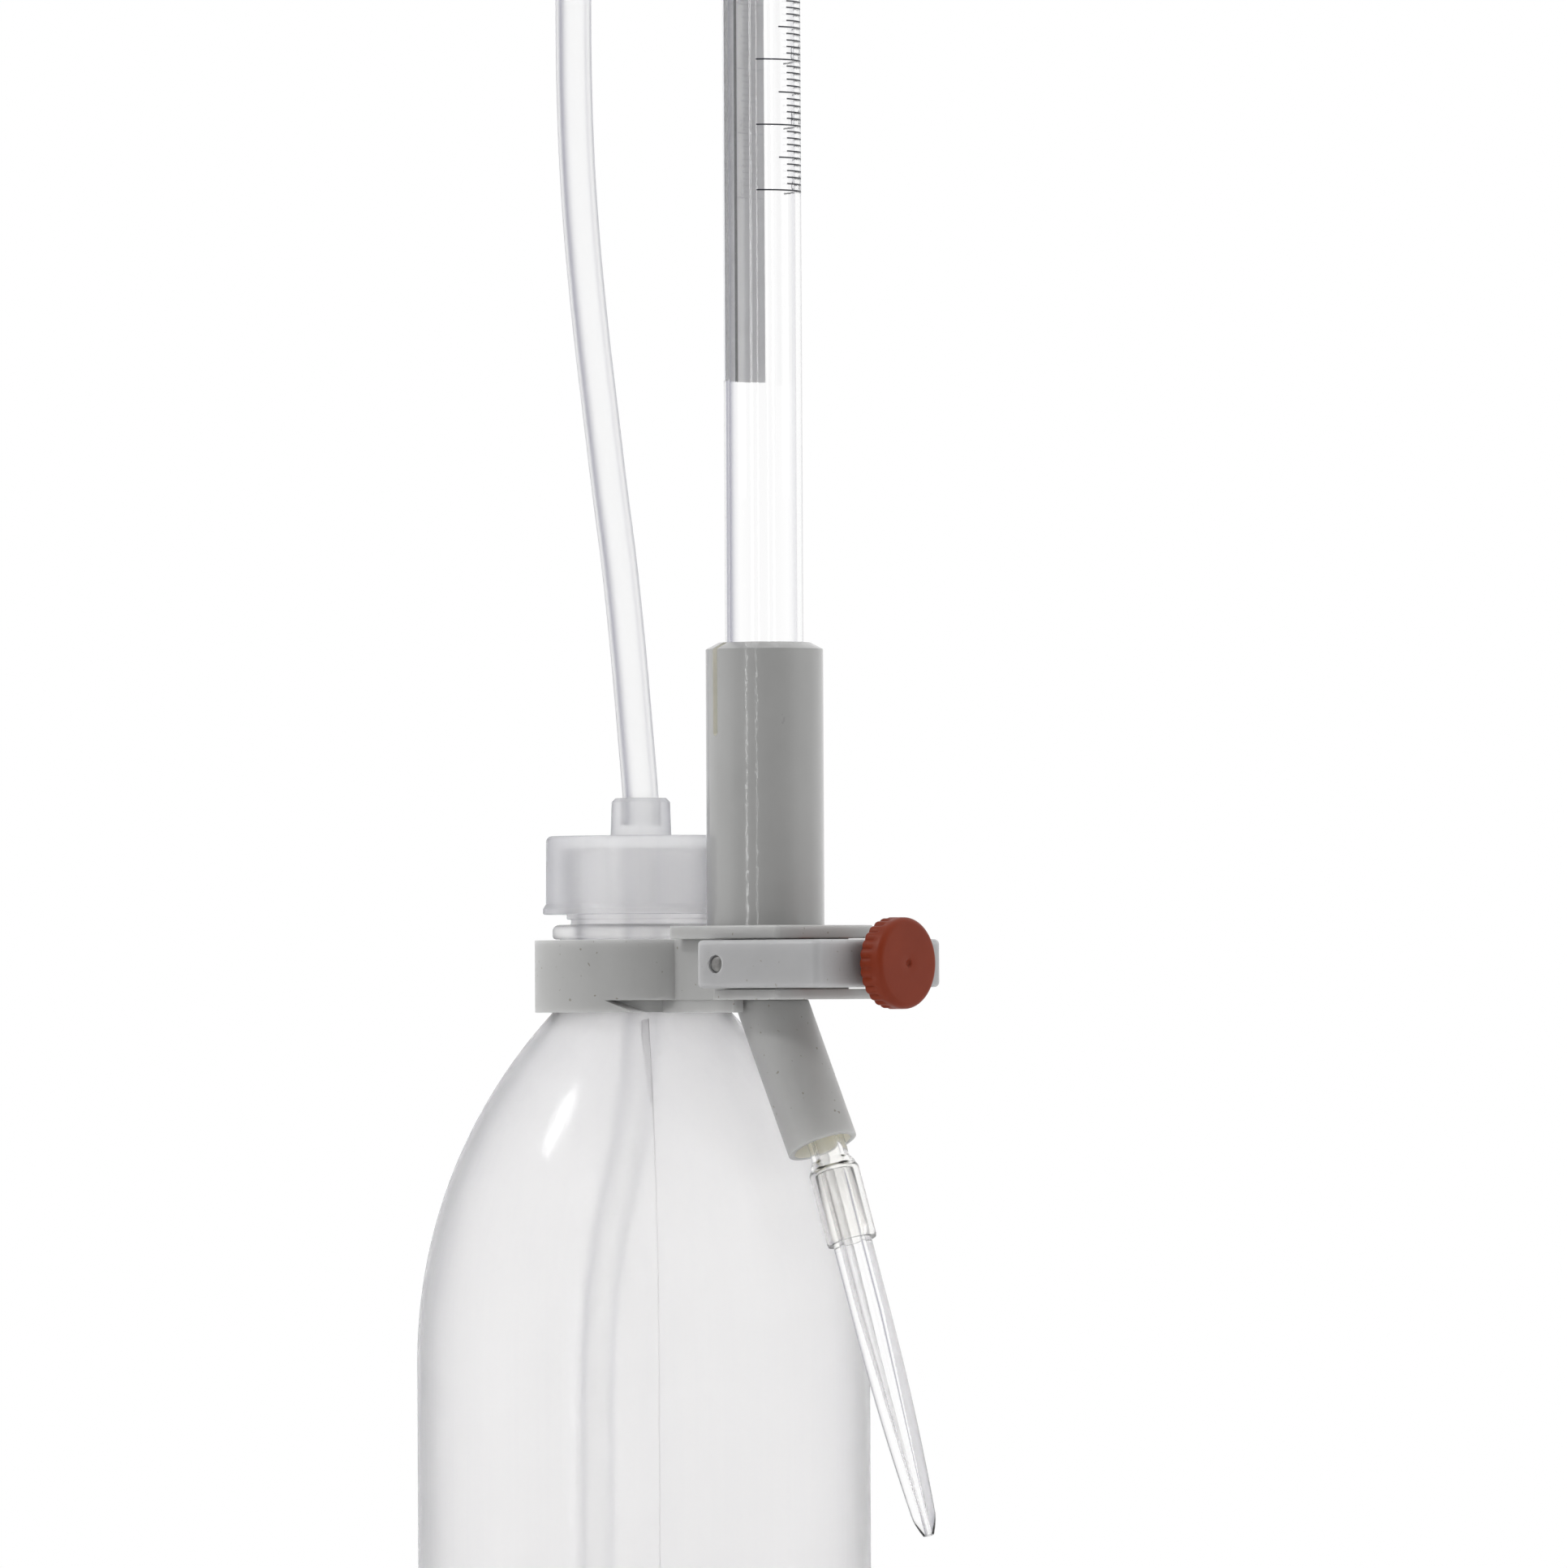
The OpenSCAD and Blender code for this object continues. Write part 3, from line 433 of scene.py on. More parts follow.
def clear(name, facing, edge, rough, ior, start=0.55, alpha=1.0):
    """Clear glass or clear soft tubing, greyer where the wall is seen edge on."""
    material, tree, shader = new_material(name)
    tree.links.new(edge_tint(tree, facing, edge, start), shader.inputs["Base Color"])
    uneven = spread(tree, noise(tree, 60, 2.0), rough, rough + 0.02)
    tree.links.new(uneven, shader.inputs["Roughness"])
    shader.inputs["Transmission Weight"].default_value = 1.0
    shader.inputs["IOR"].default_value = ior
    shader.inputs["Alpha"].default_value = alpha
    return material


def milky(name, dark, light, edge, rough, transmission, coat, painted_collar_shade=1.0, start=0.75):
    """Natural polyethylene: milky, greyer where seen edge on, with faint upright streaks and, if asked, a
    painted shade darkening the shoulder toward the collar.
    """
    material, tree, shader = new_material(name)
    drift = ramp(tree, noise(tree, 45, 4.0, 0.6), dark, light)
    colour = multiply(tree, drift, edge_tint(tree, (1, 1, 1), edge, start))
    streaks = noise(tree, 420, 3.0, 0.6, (1, 1, 0.02))
    colour = multiply(tree, colour, ramp(tree, streaks, (0.975, 0.975, 0.98), (1, 1, 1), (0.35, 0.55)))
    # Painted shade: the colour darkens up the shoulder toward the collar and comes back to full at the
    # neck.
    if painted_collar_shade < 1:
        coord = tree.nodes.new("ShaderNodeTexCoord")
        parts = tree.nodes.new("ShaderNodeSeparateXYZ")
        tree.links.new(coord.outputs["Object"], parts.inputs[0])
        shoulder = ramp(tree, parts.outputs["Z"], (1, 1, 1), (painted_collar_shade, painted_collar_shade, painted_collar_shade + 0.005),
                        (SHOULDER_LOW * MM, SHOULDER_HIGH * MM))
        shoulder.node.color_ramp.elements.new(NECK_Z * MM).color = (1, 1, 1, 1)
        colour = multiply(tree, colour, shoulder)
    tree.links.new(colour, shader.inputs["Base Color"])
    uneven = spread(tree, noise(tree, 160, 3.0), rough - 0.05, rough + 0.05)
    tree.links.new(uneven, shader.inputs["Roughness"])
    shader.inputs["Transmission Weight"].default_value = transmission
    shader.inputs["IOR"].default_value = MILKY_IOR
    scatter(shader, 8)
    bump(tree, shader, streaks, 0.25, 0.12)
    polish(material, coat, 0.1, noise(tree, 1700, 2.0, 0.5, (1, 1, 0.06)), 0.6, 0.08)
    return material


def polish(material, weight, rough, height, strength, distance):
    """A thin gloss with fine ripples, which breaks up the lamps' reflections."""
    tree = material.node_tree
    shader = tree.nodes["Principled BSDF"]
    shader.inputs["Coat Weight"].default_value = weight
    shader.inputs["Coat Roughness"].default_value = rough
    ripple = tree.nodes.new("ShaderNodeBump")
    ripple.inputs["Strength"].default_value = strength
    ripple.inputs["Distance"].default_value = distance * MM
    tree.links.new(height, ripple.inputs["Height"])
    tree.links.new(ripple.outputs["Normal"], shader.inputs["Coat Normal"])


MILKY_IOR = 1.12
GLASS_IOR = 1.47

GREY = plastic("grey_plastic", srgb(175, 175, 174), srgb(181, 181, 180), 0.36, specks=0.35, glow=4)
SLEEVE = plastic("grey_turned", srgb(161, 161, 160), srgb(166, 166, 165), 0.3, stretch=(0.2, 0.2, 3),
                 depth=0.04)
WHITE = plastic("white_plastic", srgb(171, 171, 172), srgb(177, 177, 178), 0.36, specks=0.25, glow=4)
ORANGE = plastic("orange_plastic", srgb(125, 48, 27), srgb(133, 53, 30), 0.42, grain=1500, gloss=0.16)
# The next two colours are painted light: paler tones for the spout's bore and the slit's walls, in place of
# the light that comes through the plastic there
PAINTED_LIGHT_BORE = plastic("spout_bore_painted_light", srgb(246, 236, 212), srgb(250, 242, 220), 0.5, glow=4)
PAINTED_LIGHT_SLIT = plastic("slit_walls_painted_light", srgb(232, 230, 220), srgb(238, 236, 226), 0.5)
BOTTLE = milky("bottle_plastic", (0.957, 0.952, 0.952), (0.982, 0.977, 0.977), (0.84, 0.84, 0.89),
               rough=0.46, transmission=0.88, coat=0.35, painted_collar_shade=0.948)
CAP = milky("cap_plastic", (0.88, 0.88, 0.89), (0.9, 0.9, 0.91), (0.55, 0.55, 0.58),
            rough=0.6, transmission=0.8, coat=0.2, start=0.1)
CAP_INSIDE = clear("cap_inside", (0.99, 0.99, 0.99), (0.95, 0.95, 0.96), 0.3, 1.05, alpha=0.15)
GLASS = clear("clear_glass", (1, 1, 1), (0.35, 0.35, 0.39), 0.0, GLASS_IOR, 0.7)
TIP_GLASS = clear("tip_glass", (1, 1, 1), (0.12, 0.12, 0.14), 0.0, GLASS_IOR, 0.35)
RISER = clear("riser_plastic", (1, 1, 1), (0.88, 0.88, 0.91), 0.2, 1.2, 0.5)
HOSE = clear("hose_plastic", (1, 1, 1), (0.66, 0.66, 0.73), 0.3, 1.4, 0.6)
SILICONE = clear("soft_silicone", (0.99, 0.985, 0.97), (0.75, 0.75, 0.73), 0.1, 1.32, 0.4)
RUBBER = plastic("dark_rubber", (0.012, 0.012, 0.012), (0.03, 0.03, 0.03), 0.7, grain=3000)
INK = plastic("scale_ink", srgb(38, 40, 48), srgb(52, 54, 62), 0.5, grain=4000)
ENAMEL = plastic("stripe_enamel", srgb(242, 242, 245), srgb(247, 247, 250), 0.35, grain=1200)
LINE = plastic("stripe_line", srgb(8, 9, 14), srgb(16, 17, 24), 0.4, grain=1200)

polish(SLEEVE, 0.6, 0.07, noise(SLEEVE.node_tree, 900, 2.0), 0.7, 0.05)


def steel_material():
    """Bright steel with uneven gloss."""
    material, tree, shader = new_material("steel")
    colour = ramp(tree, noise(tree, 700, 4.0), srgb(112, 111, 110), srgb(150, 149, 147))
    tree.links.new(colour, shader.inputs["Base Color"])
    shader.inputs["Metallic"].default_value = 1.0
    tree.links.new(spread(tree, noise(tree, 1500, 3.0), 0.22, 0.4), shader.inputs["Roughness"])
    bump(tree, shader, noise(tree, 4000, 2.0), 0.15, 0.02)
    return material


STEEL = steel_material()


# Fill hose

HOSE_R = 3.0
HOSE_BORE_R = 2.0
HOSE_ROUTE = [
    (0, 187), (0, 191), (-1.2, 203), (-2.6, 216), (-4.4, 230), (-6.5, 243), (-8.6, 257),
    (-10.5, 270), (-12.2, 284), (-13.3, 297), (-13.9, 311), (-14, 325), (-13.9, 340), (-13.7, 355),
    (-13.5, 370), (-13.3, 385), (-13.2, 400), (-13.1, 415), (-13, 430), (-13, 445), (-13, 460),
    (-13, 475), (-13, 490), (-13, 505), (-13, 520), (-13, 535), (-13, 550), (-13, 563), (-13, 572),
    (-12.1, 579), (-9.5, 585), (-5.4, 590.4), (0, 594.5), (6.3, 597.2), (13, 598), (18, 598),
]


def make_hose():
    """The fill hose from the cap's nozzle to the head."""
    path = catmull([Vector((x, 0, z)) for x, z in HOSE_ROUTE], 5)
    mesh = sweep("hose", path, [(HOSE_R, HOSE_R, HOSE_BORE_R, HOSE_BORE_R)] * len(path), 40)
    obj = link("hose", mesh, HOSE, "frame")
    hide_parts("fill_hose")


make_hose()


# Floor and light

FLOOR_RINGS = (0, 0.1, 0.25, 0.5, 0.75, 1.05)
FLOOR_DROP = 0.0005
FADE_FROM = 0.2
FADE_TO = 0.9
DIM_TURN = math.radians(-3)
DIM_OUTER = math.radians(80)
DIM_INNER = math.radians(28)
DIM_LEVEL = 0.03


def make_stage():
    """A pale floor that keeps the shadow near the object and runs out to white."""
    verts = []
    rows = []
    segments = 96
    for r in FLOOR_RINGS:
        first = len(verts)
        rows.append([first + k for k in range(segments)])
        for k in range(segments):
            a = TAU * k / segments
            verts.append((r * math.cos(a), r * math.sin(a), 0))
    faces = []
    for low, high in zip(rows, rows[1:]):
        for k in range(segments):
            n = (k + 1) % segments
            faces.append((low[k], high[k], high[n], low[n]))
    mesh = bpy.data.meshes.new("floor")
    mesh.from_pydata(verts, [], faces)
    floor = bpy.data.objects.new("floor", mesh)
    bpy.context.scene.collection.objects.link(floor)
    floor.location.z = -FLOOR_DROP
    material, tree, shader = new_material("floor")
    shader.inputs["Base Color"].default_value = (0.86, 0.86, 0.86, 1)
    shader.inputs["Roughness"].default_value = 0.8
    coord = tree.nodes.new("ShaderNodeTexCoord")
    reach = tree.nodes.new("ShaderNodeVectorMath")
    reach.operation = "LENGTH"
    tree.links.new(coord.outputs["Object"], reach.inputs[0])
    fade = tree.nodes.new("ShaderNodeMapRange")
    fade.interpolation_type = "SMOOTHSTEP"
    fade.inputs["From Min"].default_value = FADE_FROM
    fade.inputs["From Max"].default_value = FADE_TO
    tree.links.new(reach.outputs["Value"], fade.inputs["Value"])
    rays = tree.nodes.new("ShaderNodeLightPath")
    white = tree.nodes.new("ShaderNodeEmission")
    mix = tree.nodes.new("ShaderNodeMixShader")
    tree.links.new(times(tree, fade.outputs["Result"], seen_rays(tree, rays)), mix.inputs["Fac"])
    tree.links.new(shader.outputs[0], mix.inputs[1])
    tree.links.new(white.outputs[0], mix.inputs[2])
    tree.links.new(mix.outputs[0], tree.nodes["Material Output"].inputs["Surface"])
    mesh.materials.append(material)


def combine(tree, operation, first, second):
    """Two values joined by a maths step."""
    node = tree.nodes.new("ShaderNodeMath")
    node.operation = operation
    tree.links.new(first, node.inputs[0])
    tree.links.new(second, node.inputs[1])
    return node.outputs[0]


def seen_rays(tree, rays):
    """1 for rays that show the background: from the camera, or through something clear."""
    return combine(tree, "MAXIMUM", rays.outputs["Is Camera Ray"], rays.outputs["Is Transmission Ray"])


def times(tree, first, second):
    return combine(tree, "MULTIPLY", first, second)


def make_world():
    """White behind the object with grey flags for clear edges, and a pale tent with a dim front."""
    world = bpy.data.worlds.new("studio")
    bpy.context.scene.world = world
    world.use_nodes = True
    tree = world.node_tree
    tree.nodes.clear()
    out = tree.nodes.new("ShaderNodeOutputWorld")
    white = tree.nodes.new("ShaderNodeBackground")
    white.inputs["Strength"].default_value = 1.0
    tent = tree.nodes.new("ShaderNodeBackground")
    tent.inputs["Color"].default_value = (1, 1, 1, 1)
    sky = tree.nodes.new("ShaderNodeTexCoord").outputs["Generated"]
    front = VIEW * math.cos(DIM_TURN) + RIGHT * math.sin(DIM_TURN)
    dim = toward_share(tree, sky, front, math.cos(DIM_OUTER), math.cos(DIM_INNER))
    tree.links.new(spread(tree, dim, 1.0, DIM_LEVEL), tent.inputs["Strength"])
    rays = tree.nodes.new("ShaderNodeLightPath")
    through = rays.outputs["Is Transmission Ray"]
    back = toward_share(tree, sky, -VIEW, 0.15, 0.4)
    left = times(tree, toward_share(tree, sky, -RIGHT, 0.12, 0.5), back)
    right = times(tree, toward_share(tree, sky, RIGHT, 0.7, 0.9), back)
    flags = times(tree, combine(tree, "MAXIMUM", left, right), through)
    backdrop = ramp(tree, flags, (1, 1, 1), (0.36, 0.36, 0.43), (0, 1))
    tree.links.new(backdrop, white.inputs["Color"])
    mix = tree.nodes.new("ShaderNodeMixShader")
    tree.links.new(seen_rays(tree, rays), mix.inputs["Fac"])
    tree.links.new(tent.outputs[0], mix.inputs[1])
    tree.links.new(white.outputs[0], mix.inputs[2])
    tree.links.new(mix.outputs[0], out.inputs["Surface"])


def make_lamp(name, turn, rise, distance, size, power, shine=True, fill=True):
    """A soft lamp at an angle to the right of the camera and above the valve."""
    aim = Vector((ARM_X, 0, AXIS_Z)) * MM
    flat = VIEW * math.cos(math.radians(turn)) + RIGHT * math.sin(math.radians(turn))
    out = flat * math.cos(math.radians(rise)) + UP * math.sin(math.radians(rise))
    data = bpy.data.lights.new(name, "AREA")
    data.shape = "RECTANGLE"
    data.size, data.size_y = size
    data.energy = power
    obj = bpy.data.objects.new(name, data)
    bpy.context.scene.collection.objects.link(obj)
    obj.location = aim + out * distance
    obj.rotation_euler = (-out).to_track_quat("-Z", "Y").to_euler()
    obj.visible_glossy = shine
    obj.visible_diffuse = fill


make_stage()
make_world()
make_lamp("key_lamp", -38, 36, 1.5, (0.12, 0.12), 5, shine=False)
make_lamp("side_lamp", -75, 43.5, 1.2, (0.12, 0.3), 3.0, fill=False)
make_lamp("right_lamp", 80, 20, 1.2, (0.6, 0.6), 1.7, shine=False)
make_lamp("strip_lamp_a", -36, 4, 1.3, (0.05, 0.5), 0.8)
make_lamp("strip_lamp_b", -16, 4, 1.3, (0.03, 0.5), 0.4)
bpy.context.scene.view_settings.view_transform = "Standard"


# Bottle and cap

def shoulder_line(inset, top, steps=40):
    """The shoulder's arc as (radius, height), at an inset from the outer face."""
    shoulder_in = BOTTLE_R - SEAT_R
    rise = SEAT_Z - BODY_H
    arc = (rise * rise + shoulder_in * shoulder_in) / (2 * shoulder_in)
    middle = BOTTLE_R - arc
    radius = arc - inset
    end = math.asin((top - BODY_H) / radius)
    return [(middle + radius * math.cos(end * k / steps), BODY_H + radius * math.sin(end * k / steps))
            for k in range(steps + 1)]


FLARE_Z = 150
FLARE_BEND_Z = 160.3
FLARE_TOP = 166
WALL_RINGS = [40, 70]
BEAD_R = 14.8
BEAD_LOW = 168.15
BEAD_TOP = 170.55
GROOVE_R = 11.7
GROOVE_TOP = 171.45
THREAD_R = 12.4
NECK_TOP = 183.15
SEAM_ANGLE = 4.5


def make_bottle():
    """The bottle's shell: base, body, shoulder, neck with bead and thread, and the inside."""
    outer = fillet([(0, 0), (BOTTLE_R, 0, BASE_ROUND), (BOTTLE_R, BODY_H)], 10, closed=False)[:-1]
    outer += [(BOTTLE_R, z) for z in WALL_RINGS]
    outer += shoulder_line(0, SEAT_Z)
    neck = fillet([
        (SEAT_R, SEAT_Z), (NECK_R, SEAT_Z, 0.2), (NECK_R, BEAD_LOW, 0.1), (BEAD_R, BEAD_LOW, 1.15),
        (BEAD_R, BEAD_TOP, 1.15), (GROOVE_R, BEAD_TOP, 0.3), (GROOVE_R, GROOVE_TOP, 0.2),
        (THREAD_R, GROOVE_TOP, 0.2), (THREAD_R, NECK_TOP, 0.4), (NECK_BORE_R, NECK_TOP, 0.4),
        (NECK_BORE_R, FLARE_TOP)], 5, closed=False)
    inner = shoulder_line(BOTTLE_WALL, FLARE_Z)[::-1]
    flare = []
    for k in range(1, 12):
        t = k / 12
        r = (1 - t * t) * NECK_BORE_R + t * t * inner[0][0]
        flare.append((r, (1 - t) ** 2 * FLARE_TOP + 2 * t * (1 - t) * FLARE_BEND_Z + t * t * FLARE_Z))
    inner = flare + inner
    inner_r = BOTTLE_R - BOTTLE_WALL
    inner += [(inner_r, z) for z in reversed(WALL_RINGS)]
    inner += fillet([(inner_r, 30), (inner_r, BASE_T, BASE_ROUND - BOTTLE_WALL), (0, BASE_T)], 10,
                    closed=False)
    mesh = lathe("bottle_shell", outer + neck[1:] + inner, segments=160)
    obj = link("bottle_shell", mesh, BOTTLE, "frame", 40)
    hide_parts("bottle")


def ridge_faces(first, rows):
    """Faces of a closed ridge whose rows have three points each."""
    faces = []
    for i in range(rows - 1):
        p = first + 3 * i
        faces += [(p, p + 1, p + 4, p + 3), (p + 1, p + 2, p + 5, p + 4), (p + 2, p, p + 3, p + 5)]
    last = first + 3 * (rows - 1)
    faces += [(first, first + 2, first + 1), (last, last + 1, last + 2)]
    return faces


def make_seams():
    """The mould's parting line, a low ridge up both sides of the shoulder and the body."""
    line = [(BOTTLE_R, 8), (BOTTLE_R, 50)] + shoulder_line(0, SEAT_Z - 1)
    half = 0.14
    sink = 0.05
    lift = 0.08
    verts = []
    faces = []
    for turn in (SEAM_ANGLE, SEAM_ANGLE + 180):
        a = VIEW_ANGLE + math.radians(turn)
        out = Vector((math.cos(a), math.sin(a), 0))
        side = Vector((-math.sin(a), math.cos(a), 0))
        faces += ridge_faces(len(verts), len(line))
        for r, z in line:
            base = out * (r - sink) + UP * z
            verts += [base - side * half, base + out * lift, base + side * half]
    mesh = outward(mesh_from("bottle_seams", verts, faces))
    link("bottle_seams", mesh, BOTTLE, "frame")


def make_mould_mark():
    """A low wedge beside the parting line under the collar, with its step on the right."""
    low = 139.5
    high = 155.5
    sink = -0.05
    line = [(r, z) for r, z in shoulder_line(0, SEAT_Z) if low <= z <= high]
    verts = []
    for r, z in line:
        share = (z - low) / (high - low)
        left = SEAM_ANGLE - 0.3 - 4.8 * share
        step = SEAM_ANGLE + 0.1
        for turn, lift in ((left, sink), (SEAM_ANGLE - 0.1, 0.3 * share), (step, sink)):
            a = VIEW_ANGLE + math.radians(turn)
            verts.append(((r + lift) * math.cos(a), (r + lift) * math.sin(a), z))
    mesh = outward(mesh_from("mould_mark", verts, ridge_faces(0, len(line))))
    link("mould_mark", mesh, BOTTLE, "frame")


CAP_LOW = 172.27
CAP_TOP = 185.27
CAP_ROOF = 183.17
CAP_R = 15.75
CAP_RIM_R = 16.35
CAP_RIM_TOP = 173.2
CAP_BORE_R = 12.55
NOZZLE_R = 5.05
NOZZLE_TOP = 191.57
HOSE_HOLE_R = 3.15
HOSE_STOP_Z = 186.57
RISER_STUB_R = 4.95
RISER_STUB_LOW = 174.2


def make_cap():
    """The screw cap with its rim, its nozzle and the stub that holds the riser tube."""
    outline = fillet([
        (CAP_RIM_R, CAP_LOW, 0.2), (CAP_RIM_R, CAP_RIM_TOP, 0.3), (CAP_R + 0.1, CAP_RIM_TOP + 0.8, 0.3),
        (CAP_R, CAP_TOP, 0.8), (NOZZLE_R, CAP_TOP, 0.3), (NOZZLE_R - 0.2, NOZZLE_TOP - 0.67, 0.15),
        (NOZZLE_R - 0.85, NOZZLE_TOP, 0.2), (HOSE_HOLE_R, NOZZLE_TOP, 0.15),
        (HOSE_HOLE_R, HOSE_STOP_Z), (HOSE_BORE_R, HOSE_STOP_Z), (HOSE_BORE_R, CAP_ROOF),
        (HOSE_HOLE_R, CAP_ROOF), (HOSE_HOLE_R, RISER_STUB_LOW), (RISER_STUB_R, RISER_STUB_LOW),
        (RISER_STUB_R, CAP_ROOF, 0.3), (CAP_BORE_R, CAP_ROOF, 0.3), (CAP_BORE_R, CAP_LOW, 0.2)], 4)
    obj = link("cap_shell", lathe("cap_shell", outline, segments=160), CAP, "frame", 40)
    repaint(obj, CAP_INSIDE, in_cap)
    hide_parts("screw_cap")


def in_cap(face):
    """True for the faces inside the cap."""
    middle = face.center / MM
    reach = Vector((middle.x, middle.y)).length
    return reach < HOSE_HOLE_R + 0.05 or (reach < CAP_BORE_R + 0.05 and middle.z < CAP_ROOF + 0.13)


def repaint(obj, material, test):
    """Puts a second material on the faces that pass a test."""
    obj.data.materials.append(material)
    for face in obj.data.polygons:
        if test(face):
            face.material_index = 1


make_bottle()
make_seams()
make_mould_mark()
make_cap()


# Glass tube, stripe and scale

NIPPLE_R = 2.6
NIPPLE_BORE_R = 1.5
NIPPLE_LOW = GLASS_Z - 7


def make_glass():
    """The long wall faces have rings close to their ends, which keeps their shading straight."""
    outline = fillet([
        (NIPPLE_BORE_R, NIPPLE_LOW, 0.2), (NIPPLE_R, NIPPLE_LOW, 0.4), (NIPPLE_R, GLASS_Z, 0.3),
        (GLASS_R, GLASS_Z, 0.5),
        (GLASS_R, GLASS_Z + 2), (GLASS_R, GLASS_TOP - 2), (GLASS_R, GLASS_TOP, 0.3),
        (GLASS_BORE_R, GLASS_TOP, 0.3), (GLASS_BORE_R, GLASS_TOP - 2), (GLASS_BORE_R, GLASS_Z + 8),
        (GLASS_BORE_R, GLASS_Z + 5.5, 1.5), (NIPPLE_BORE_R, GLASS_Z + 1.5, 0.5)], 4)
    mesh = lathe("glass_shell", outline, (ARM_X, 0), 128)
    obj = link("glass_shell", mesh, GLASS, "frame", 40)
    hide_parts("burette_tube")


def glass_patch(verts, faces, radius, start, end, z_low, z_high, step=5):
    """Adds a curved patch on the glass; the angles count from the camera toward the image's right."""
    count = max(1, math.ceil((end - start) / step))
    first = len(verts)
    for k in range(count + 1):
        a = VIEW_ANGLE + math.radians(start + (end - start) * k / count)
        x = ARM_X + radius * math.cos(a)
        y = radius * math.sin(a)
        verts.append((x, y, z_low))
        verts.append((x, y, z_high))
    for k in range(count):
        p = first + 2 * k
        faces.append((p, p + 2, p + 3, p + 1))


STRIPE_LOW = 260
STRIPE_TOP = 581
INK_R = GLASS_R + 0.02
FIGURE_ANGLE = math.radians(102)
FIGURE_SIZE = 3.4
FIGURE_LIFT = 0.4


def make_stripe():
    """The backing stripe on the far side of the glass and the line in it."""
    for name, material, radius, start, end in (
        ("backing_stripe", ENAMEL, GLASS_R + 0.01, 176, 287),
        ("stripe_line", LINE, GLASS_R + 0.005, 228, 237),
    ):
        verts = []
        faces = []
        glass_patch(verts, faces, radius, start, end, STRIPE_LOW, STRIPE_TOP)
        link(name, mesh_from(name, verts, faces), material, "frame")


def make_scale():
    """Marks at each tenth of a millilitre, longer at each half and each whole."""
    verts = []
    faces = []
    half = 0.12
    for i in range(SCALE_ML * 10 + 1):
        z = ZERO_Z - ML * i / 10
        start, end = (40, 100)
        if i % 5 == 0:
            start, end = (26, 110)
        if i % 10 == 0:
            start, end = (-8, 140)
        glass_patch(verts, faces, INK_R, start, end, z - half, z + half, 6)
    link("scale_marks", mesh_from("scale_marks", verts, faces), INK, "frame")


def make_figures():
    """Plain figures beside the long marks, bent round the glass."""
    verts = []
    faces = []
    for i in range(SCALE_ML + 1):
        curve = bpy.data.curves.new("figure", "FONT")
        curve.body = str(i)
        curve.size = FIGURE_SIZE
        curve.align_x = "CENTER"
        curve.resolution_u = 3
        obj = bpy.data.objects.new("figure", curve)
        bpy.context.scene.collection.objects.link(obj)
        bpy.context.view_layer.update()
        mesh = obj.evaluated_get(bpy.context.evaluated_depsgraph_get()).to_mesh()
        first = len(verts)
        for v in mesh.vertices:
            a = VIEW_ANGLE + FIGURE_ANGLE + v.co.x / GLASS_R
            z = ZERO_Z - ML * i + FIGURE_LIFT + v.co.y
            verts.append((ARM_X + INK_R * math.cos(a), INK_R * math.sin(a), z))
        for p in mesh.polygons:
            faces.append([first + k for k in p.vertices])
        bpy.data.objects.remove(obj)
        bpy.data.curves.remove(curve)
    link("scale_figures", mesh_from("scale_figures", verts, faces), INK, "frame")


make_glass()
make_stripe()
make_scale()
make_figures()


# Pinch tube and glass tip

JOINT_A = (27, 160.19)
JOINT_B = (39.45, 135.5)
TIP_TILT = 18.4
TUBE_R = 3.1
TUBE_BORE_R = 1.8
GRIP_R = 4.17
TIP_R = 3.25
TIP_LEN = 62.2
TIP_FROM = 6.12
TIP_LOW_R = 2.0
TIP_BORE_R = 1.5
TIP_MOUTH_R = 0.4


def under_glass(z):
    """A point on the glass's axis."""
    return Vector((ARM_X, 0, z))


def along_tip(distance):
    """A point on the tip's axis, counted from the bend in the spout."""
    t = math.radians(TIP_TILT)
    return Vector((JOINT_B[0] + distance * math.sin(t), 0, JOINT_B[1] - distance * math.cos(t)))


